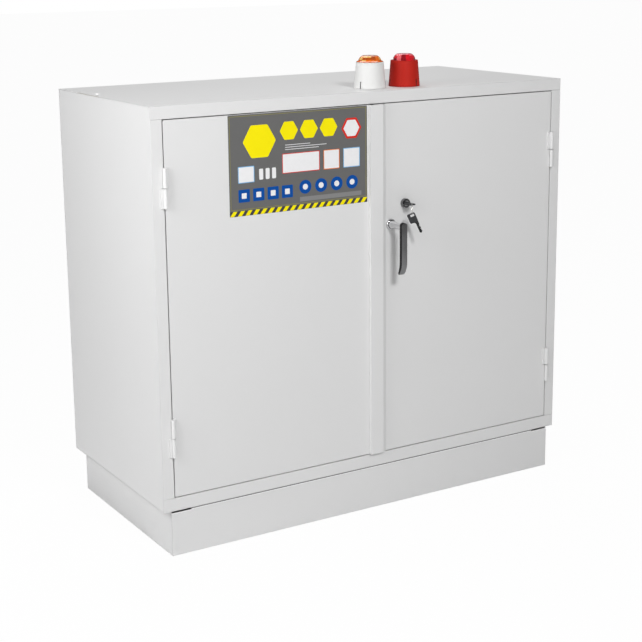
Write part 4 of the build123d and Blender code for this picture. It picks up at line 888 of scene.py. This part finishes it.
class CABINET_OT_keys(bpy.types.Operator):
    """Make the two keys with moulded bows, the split ring and cut blades."""

    bl_idname = "cabinet.keys"
    bl_label = "Keys and ring"

    def execute(self, context):
        low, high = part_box("lock_housing")
        lock = Vector(((low[0] + high[0]) / 2, low[1], (low[2] + high[2]) / 2))
        bow_wide, bow_long, bow_thick, edge, hole_long, hole_wide = (
            0.019, 0.023, 0.003, 0.003, 0.009, 0.0056)
        blade_wide, blade_long, blade_thick = 0.007, 0.028, 0.0022
        shift = (bow_wide - hole_long) / 2 - edge
        hole_v = bow_long - edge - hole_wide / 2
        start = lock.y - 0.001
        ring_radius = 0.0135
        lean, turn, tilt = math.radians(42), math.radians(33), math.radians(24)
        away = Vector((math.sin(turn), math.cos(turn), 0))
        hole = Vector((lock.x + shift, start - hole_v, lock.z))
        centre = (hole - away * ring_radius * math.cos(lean)
                  - Vector((0, 0, ring_radius * math.sin(lean))))
        across, up = Vector((away.y, -away.x, 0)), Vector((0, 0, 1))
        tilted_x = across * math.cos(tilt) + up * math.sin(tilt)
        tilted_y = up * math.cos(tilt) - across * math.sin(tilt)
        bridge = 0.0008 + 0.0003
        hang = (centre - up * ring_radius - tilted_y * (bow_long - edge - bridge)
                - tilted_x * shift)

        def key_place(origin, x_dir, y_dir):
            return axes_at(origin, x_dir, y_dir, x_dir.cross(y_dir))

        def key_pieces(name, node, place, blade_u):
            builder = bmesh.new()
            outer = rounded(box_points(-bow_wide / 2, 0, bow_wide / 2, bow_long), 0.003, 6)
            inner = rounded(box_points(shift - hole_long / 2, hole_v - hole_wide / 2,
                                       shift + hole_long / 2, hole_v + hole_wide / 2), 0.001, 6)
            lift = place @ Matrix.Translation((0, 0, -bow_thick / 2))
            rings = []
            for outline, inset in ((outer, 0.0006), (inner, -0.0005)):
                centre_u = sum(u for u, _ in outline) / len(outline)
                centre_v = sum(v for _, v in outline) / len(outline)
                rows = []
                for w, pull in ((0, inset), (0.0005, 0), (bow_thick - 0.0005, 0),
                                (bow_thick, inset)):
                    row = []
                    for u, v in outline:
                        away_u, away_v = u - centre_u, v - centre_v
                        size = math.hypot(away_u, away_v)
                        row.append(builder.verts.new(lift @ Vector((
                            u - away_u / size * pull, v - away_v / size * pull, w))))
                    rows.append(row)
                rings.append(rows)
                for bottom, top_row in zip(rows, rows[1:]):
                    wall(builder, bottom, top_row)
            for end in (0, -1):
                wall(builder, rings[0][end], rings[1][end])
            if blade_u:
                corner, fillet = blade_u - blade_wide / 2, 0.005
                curve = [(corner - fillet + fillet * math.sin(math.radians(15 * k)),
                          -fillet + fillet * math.cos(math.radians(15 * k))) for k in range(7)]
                plate(builder, [(corner + 0.001, 0.0006), (corner - fillet, 0.0006), *curve,
                                (corner + 0.001, -fillet)], lift, bow_thick)
            bow = piece_from(f"{name}_bow", builder, BODY_OF[node], [dark_plastic()],
                             "dark_plastic")
            blade = bmesh.new()
            half = blade_wide / 2
            notches = [(half, 0.0006), (half, -0.006)]
            depths = (0.0014, 0.0024, 0.0009, 0.0020, 0.0012)
            for index, depth in enumerate(depths):
                v = -0.008 - 0.0034 * index
                notches += [(half, v + 0.001), (half - depth, v), (half - depth, v - 0.001),
                            (half, v - 0.002)]
            outline = ([(blade_u - half, 0.0006), (blade_u - half, -blade_long + 0.002),
                        (blade_u - half + 0.002, -blade_long),
                        (blade_u + half - 0.0025, -blade_long)]
                       + [(blade_u + u, v) for u, v in reversed(notches)])
            flat = place @ Matrix.Translation((0, 0, -blade_thick / 2))
            plate(blade, outline, flat, blade_thick)
            piece_from(f"{name}_blade", blade, BODY_OF[node], [finish(
                "blackened_steel", (0.020, 0.020, 0.021), 0.34, tone=0.2, tone_size=200.0,
                grain=1800.0, bump=0.06, Specular_IOR_Level=0.3)])
            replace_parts(bow, node)

        key_pieces("key", "key", key_place(Vector((lock.x, start, lock.z)), Vector((1, 0, 0)),
                                           Vector((0, -1, 0))), 0.0)
        key_pieces("spare_key", "spare_key", key_place(hang, tilted_x, tilted_y),
                   (bow_wide - blade_wide) / 2 - 0.0005)

        builder = bmesh.new()
        wire, turns, steps, sides = 0.0004, 2, 96, 8
        rows = []
        for step in range(steps * turns + 1):
            angle = 2 * math.pi * step / steps
            outward = away * math.cos(angle) + up * math.sin(angle)
            side = across * ((step / (steps * turns) - 0.5) * 2 * wire)
            middle = centre + outward * ring_radius + side
            rows.append([builder.verts.new(
                middle + outward * wire * math.cos(2 * math.pi * k / sides)
                + across * wire * math.sin(2 * math.pi * k / sides)) for k in range(sides)])
        for bottom, top_row in zip(rows, rows[1:]):
            wall(builder, bottom, top_row)
        builder.faces.new(rows[0][::-1])
        builder.faces.new(rows[-1])
        ring = piece_from("split_ring", builder, "key_ring", [steel_blade()], "zinc_plated_steel")
        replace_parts(ring, "key_ring")
        return {"FINISHED"}


class CABINET_OT_top_plug(bpy.types.Operator):
    """Press the small round plug into the left edge of the top."""

    bl_idname = "cabinet.top_plug"
    bl_label = "Top plug"

    def execute(self, context):
        low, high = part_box("casing_top")
        centre = Vector((low[0] + 0.022, low[1] + 0.329, high[2]))
        builder = bmesh.new()
        lathe(builder, centre, ((0, -0.0002), (0.006, -0.0002), (0.006, 0.0006), (0.0052, 0.0013),
                                (0.0030, 0.0019), (0, 0.0021)), 32)
        piece_from("top_plug", builder, "cabinet", [white_plastic()], "white_plastic")
        return {"FINISHED"}


class CABINET_OT_plinth_joint(bpy.types.Operator):
    """Paint the joint between the casing and the plinth's front panel: a dark line along the seam, a
    painted shadow, and a light strip under it and beside the notches, a painted highlight on the
    plinth's folded top edge.
    """

    bl_idname = "cabinet.plinth_joint"
    bl_label = "Plinth joint"

    def execute(self, context):
        low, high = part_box("plinth_front")
        notch, proud = 0.049, 0.0003
        left, right, top = low[0] + notch, high[0] - notch, high[2]
        line = bmesh.new()
        box(line, (left, low[1] - proud, top - 0.0030), (right, low[1] + 0.001, top + 0.0002))
        piece_from("plinth_joint_shadow", line, "cabinet",
                   [finish("joint_shadow", (0.22, 0.22, 0.22), 0.7, tone=0.15, tone_size=12.0)])
        bend_highlight = bmesh.new()
        box(bend_highlight, (left, low[1] - proud, top - 0.0052), (right, low[1] + 0.001, top - 0.0030))
        for start, stop in ((low[0], left), (right, high[0])):
            box(bend_highlight, (start, low[1] - proud, top - 0.0072), (stop, low[1] + 0.001, top - 0.0050))
        piece_from("plinth_bend_highlight", bend_highlight, "cabinet",
                   [finish("bright_coat_edge", (0.95, 0.95, 0.95), 0.5, tone=0.03,
                           tone_size=12.0)])
        return {"FINISHED"}


class CABINET_OT_fittings(bpy.types.Operator):
    """Put insert faces with zinc tabs in the sockets and dark discs at their pin holes, painted shade;
    a face on the control unit; and dark plates round the smoke detector, painted shade for its vent
    openings.
    """

    bl_idname = "cabinet.fittings"
    bl_label = "Fittings inside"

    def execute(self, context):
        dark, painted_hole_shade = dark_plastic(), black_painted_shade_and_reflection()
        socket_pitch, socket_depth, vent_count = 0.082, 0.014, 18
        for name in ("upper_socket_strip", "lower_socket_strip"):
            low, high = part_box(name)
            middle, level = (low[0] + high[0]) / 2, (low[2] + high[2]) / 2
            insert = bmesh.new()
            for k in range(-2, 3):
                place = facing_front(middle + socket_pitch * k, low[1] + socket_depth, level)
                plate(insert, circle(0, 0, 0.0188), place, 0.0015, 0)
                for side in (-1, 1):
                    # Dark discs at the pin holes: painted shade.
                    plate(insert, circle(side * 0.0095, 0, 0.0026, 16), place, 0.0018, 1)
                    plate(insert, box_points(-0.003, side * 0.0165 - 0.0015, 0.003,
                                             side * 0.0165 + 0.0015), place, 0.0050, 2)
            piece_from(f"{name}_inserts", insert, "cabinet", [dark, painted_hole_shade, zinc()])
        low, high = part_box("control_unit")
        face = bmesh.new()
        place = facing_front(low[0], low[1], low[2])
        wide, tall = high[0] - low[0], high[2] - low[2]
        plate(face, rounded(box_points(0.018, 0.016, wide - 0.018, tall - 0.016), 0.004), place,
              0.0008, 0)
        plate(face, rounded(box_points(0.028, 0.050, wide - 0.060, tall - 0.026), 0.002), place,
              0.0012, 1)
        for k in range(3):
            plate(face, circle(wide - 0.038, tall - 0.034 - 0.013 * k, 0.0026, 20), place, 0.0016,
                  2 + k)
        for k in range(4):
            plate(face, rounded(box_points(0.028 + 0.020 * k, 0.026, 0.042 + 0.020 * k, 0.036),
                                0.0015), place, 0.0020, 5)
        piece_from("unit_face", face, "cabinet", [
            finish("unit_plate", (0.10, 0.10, 0.105), 0.4, tone=0.1, tone_size=60.0),
            finish("unit_display", (0.02, 0.10, 0.10), 0.12, tone=0.2, tone_size=50.0),
            finish("signal_green", (0.02, 0.45, 0.06), 0.25, tone=0.1, tone_size=200.0),
            finish("signal_amber", (0.90, 0.30, 0.01), 0.25, tone=0.1, tone_size=200.0),
            finish("signal_red", (0.70, 0.01, 0.01), 0.25, tone=0.1, tone_size=200.0),
            finish("unit_button", (0.30, 0.30, 0.31), 0.45, tone=0.1, tone_size=100.0)])
        low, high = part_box("smoke_detector")
        centre = Vector(((low[0] + high[0]) / 2, (low[1] + high[1]) / 2, low[2]))
        vent_shade = bmesh.new()
        # Dark plates round the detector's side stand for its vent openings: painted shade.
        for k in range(vent_count):
            place = (Matrix.Translation(centre)
                     @ Matrix.Rotation(math.tau * k / vent_count, 4, "Z")
                     @ facing_front(0, -0.0298, 0.006))
            plate(vent_shade, box_points(-0.0034, -0.0025, 0.0034, 0.0025), place, 0.0005, 0)
        lathe(vent_shade, centre + Vector((0.018, 0, 0)), ((0, 0.0002), (0.002, 0.0002),
                                                      (0.0014, -0.0), (0, -0.0)), 16)
        piece_from("detector_vent_shade", vent_shade, "cabinet", [painted_hole_shade])
        return {"FINISHED"}


class CABINET_OT_fasteners(bpy.types.Operator):
    """Put screw heads on the back panel, the lock cover, the socket strips and the control unit."""

    bl_idname = "cabinet.fasteners"
    bl_label = "Fasteners"

    def execute(self, context):
        sizes = context.scene.cabinet_fasteners
        tree = screw_tree()

        def heads(name, body, facing, points, factor=1.0):
            mesh = run_tree(tree, {
                "Head Radius": sizes.radius * factor, "Head Height": sizes.height * factor,
                "Facing": facing, "Material": zinc(), "Recess Shade Material": black_plastic()}, points)
            piece = linked(name, mesh)
            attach(piece, body)

        backward, frontward = (-math.pi / 2, 0, 0), (math.pi / 2, 0, 0)
        low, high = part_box("casing_back")
        inset = 0.010
        points = []
        for index in range(6):
            x = low[0] + inset + (high[0] - low[0] - 2 * inset) * index / 5
            points += [(x, high[1], low[2] + inset), (x, high[1], high[2] - inset)]
        for index in range(1, 5):
            z = low[2] + inset + (high[2] - low[2] - 2 * inset) * index / 5
            points += [(low[0] + inset, high[1], z), (high[0] - inset, high[1], z)]
        heads("back_screws", "cabinet", backward, points)
        low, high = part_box("lock_cover")
        _, plate_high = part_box("lock_plate")
        points = [(x, plate_high[1] + 0.0015, z)
                  for x in (low[0] + 0.004, high[0] - 0.004)
                  for z in (low[2] + 0.012, (low[2] + high[2]) / 2, high[2] - 0.012)]
        heads("cover_screws", "right_door", backward, points, 0.9)
        for name in ("upper_socket_strip", "lower_socket_strip"):
            low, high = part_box(name)
            points = [(x, low[1], z) for x in (low[0] + 0.010, high[0] - 0.010)
                      for z in (low[2] + 0.010, high[2] - 0.010)]
            heads(f"{name}_screws", "cabinet", frontward, points, 0.8)
        low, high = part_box("control_unit")
        points = [(x, low[1], z) for x in (low[0] + 0.009, high[0] - 0.009)
                  for z in (low[2] + 0.009, high[2] - 0.009)]
        heads("unit_screws", "cabinet", frontward, points, 0.8)
        return {"FINISHED"}


class CABINET_OT_stage(bpy.types.Operator):
    """Make the floor, the lamps, the room light and the camera."""

    bl_idname = "cabinet.stage"
    bl_label = "Studio"

    def execute(self, context):
        studio = context.scene.cabinet_studio
        builder = bmesh.new()
        low, high = CAD_BOX
        stops = [(-FLOOR_REACH, low[i] + UNDER_INSET, high[i] - UNDER_INSET, FLOOR_REACH)
                 for i in (0, 1)]
        grid = [[builder.verts.new((x, y, 0)) for y in stops[1]] for x in stops[0]]
        for i in range(3):
            for j in range(3):
                face = builder.faces.new((grid[i][j], grid[i + 1][j], grid[i + 1][j + 1],
                                          grid[i][j + 1]))
                face.material_index = 1 if i == j == 1 else 0
        mesh = bpy.data.meshes.new("floor")
        builder.to_mesh(mesh)
        builder.free()
        floor = linked("floor", mesh)
        material = bpy.data.materials.new("studio_floor")
        material.use_nodes = True
        tree = material.node_tree
        tree.nodes.clear()
        show_camera(tree, "ShaderNodeOutputMaterial",
                    add(tree, "ShaderNodeBsdfDiffuse", Color=(0.86, 0.86, 0.86, 1)),
                    add(tree, "ShaderNodeEmission", Color=(1, 1, 1, 1), Strength=1.0), FLOOR_GLOW)
        mesh.materials.append(material)
        # The face under the cabinet is a darker grey than the floor round it, painted shade, and it
        # takes no camera glow.
        mesh.materials.append(finish("floor_painted_shade_under_plinth", (0.3, 0.3, 0.3), 0.8, tone=0.1))

        world = bpy.data.worlds.new("room")
        context.scene.world = world
        world.use_nodes = True
        tree = world.node_tree
        tree.nodes.clear()
        show_camera(tree, "ShaderNodeOutputWorld",
                    add(tree, "ShaderNodeBackground", Color=(1, 1, 1, 1), Strength=studio.sky),
                    add(tree, "ShaderNodeBackground", Color=(1, 1, 1, 1), Strength=1.0))

        for name, place, aim, size, power in (
                ("front", (-0.4, -2.6, 2.3), (-0.2, -0.2, 0.9), 0.5, studio.front_power),
                ("side", (-1.8, -0.5, 1.3), (-0.4, 0, 0.7), 0.8, studio.side_power),
                ("overhead", (0.5, 0.9, 2.6), (0.1, 0.1, 0.9), 1.5, studio.top_power)):
            lamp = bpy.data.lights.new(name, "AREA")
            lamp.energy, lamp.size = power, size
            piece = linked(name, lamp)
            piece.location = place
            toward = Vector(aim) - Vector(place)
            piece.rotation_euler = toward.to_track_quat("-Z", "Y").to_euler()

        camera = bpy.data.cameras.new("camera")
        camera.lens, camera.sensor_width = studio.lens, 36.0
        camera.shift_y = studio.shift
        camera.clip_start, camera.clip_end = 0.05, 100
        around, above, roll = (math.radians(angle) for angle in CAMERA_ANGLES)
        back = Vector((math.sin(around) * math.cos(above), -math.cos(around) * math.cos(above),
                       math.sin(above)))
        right = (-back).cross(Vector((0, 0, 1))).normalized()
        up = right.cross(-back)
        rolled_right = right * math.cos(roll) + up * math.sin(roll)
        rolled_up = up * math.cos(roll) - right * math.sin(roll)
        piece = linked("camera", camera)
        piece.matrix_world = axes_at(CAMERA_PLACE, rolled_right, rolled_up, back)
        context.scene.camera = piece
        context.scene.view_settings.view_transform = "Standard"
        return {"FINISHED"}


OPERATORS = (
    CABINET_OT_stage, CABINET_OT_coat, CABINET_OT_printed_panel, CABINET_OT_beacon_lenses,
    CABINET_OT_lever, CABINET_OT_keys, CABINET_OT_top_plug, CABINET_OT_plinth_joint,
    CABINET_OT_fittings, CABINET_OT_fasteners)


class CABINET_PT_sidebar(bpy.types.Panel):
    """Lists the cabinet's pieces and their settings."""

    bl_idname = "CABINET_PT_sidebar"
    bl_label = "Battery cabinet"
    bl_space_type = "VIEW_3D"
    bl_region_type = "UI"
    bl_category = "Cabinet"

    def draw(self, context):
        for name, group in GROUPS.items():
            column = self.layout.column(align=True)
            for setting in group.__annotations__:
                column.prop(getattr(context.scene, name), setting)
        for operator in OPERATORS:
            self.layout.operator(operator.bl_idname)


GROUPS = {
    "cabinet_finishes": CabinetFinishes, "cabinet_panel": PrintedPanel,
    "cabinet_lenses": BeaconLenses, "cabinet_fasteners": Fasteners, "cabinet_studio": Studio}


def register():
    for name, group in GROUPS.items():
        bpy.utils.register_class(group)
        setattr(bpy.types.Scene, name, bpy.props.PointerProperty(type=group))
    for item in (*OPERATORS, CABINET_PT_sidebar):
        bpy.utils.register_class(item)


def unregister():
    for item in (CABINET_PT_sidebar, *reversed(OPERATORS)):
        bpy.utils.unregister_class(item)
    for name, group in GROUPS.items():
        delattr(bpy.types.Scene, name)
        bpy.utils.unregister_class(group)


def main():
    register()
    for operator in OPERATORS:
        group, name = operator.bl_idname.split(".")
        getattr(getattr(bpy.ops, group), name)()


if __name__ == "__main__":
    main()
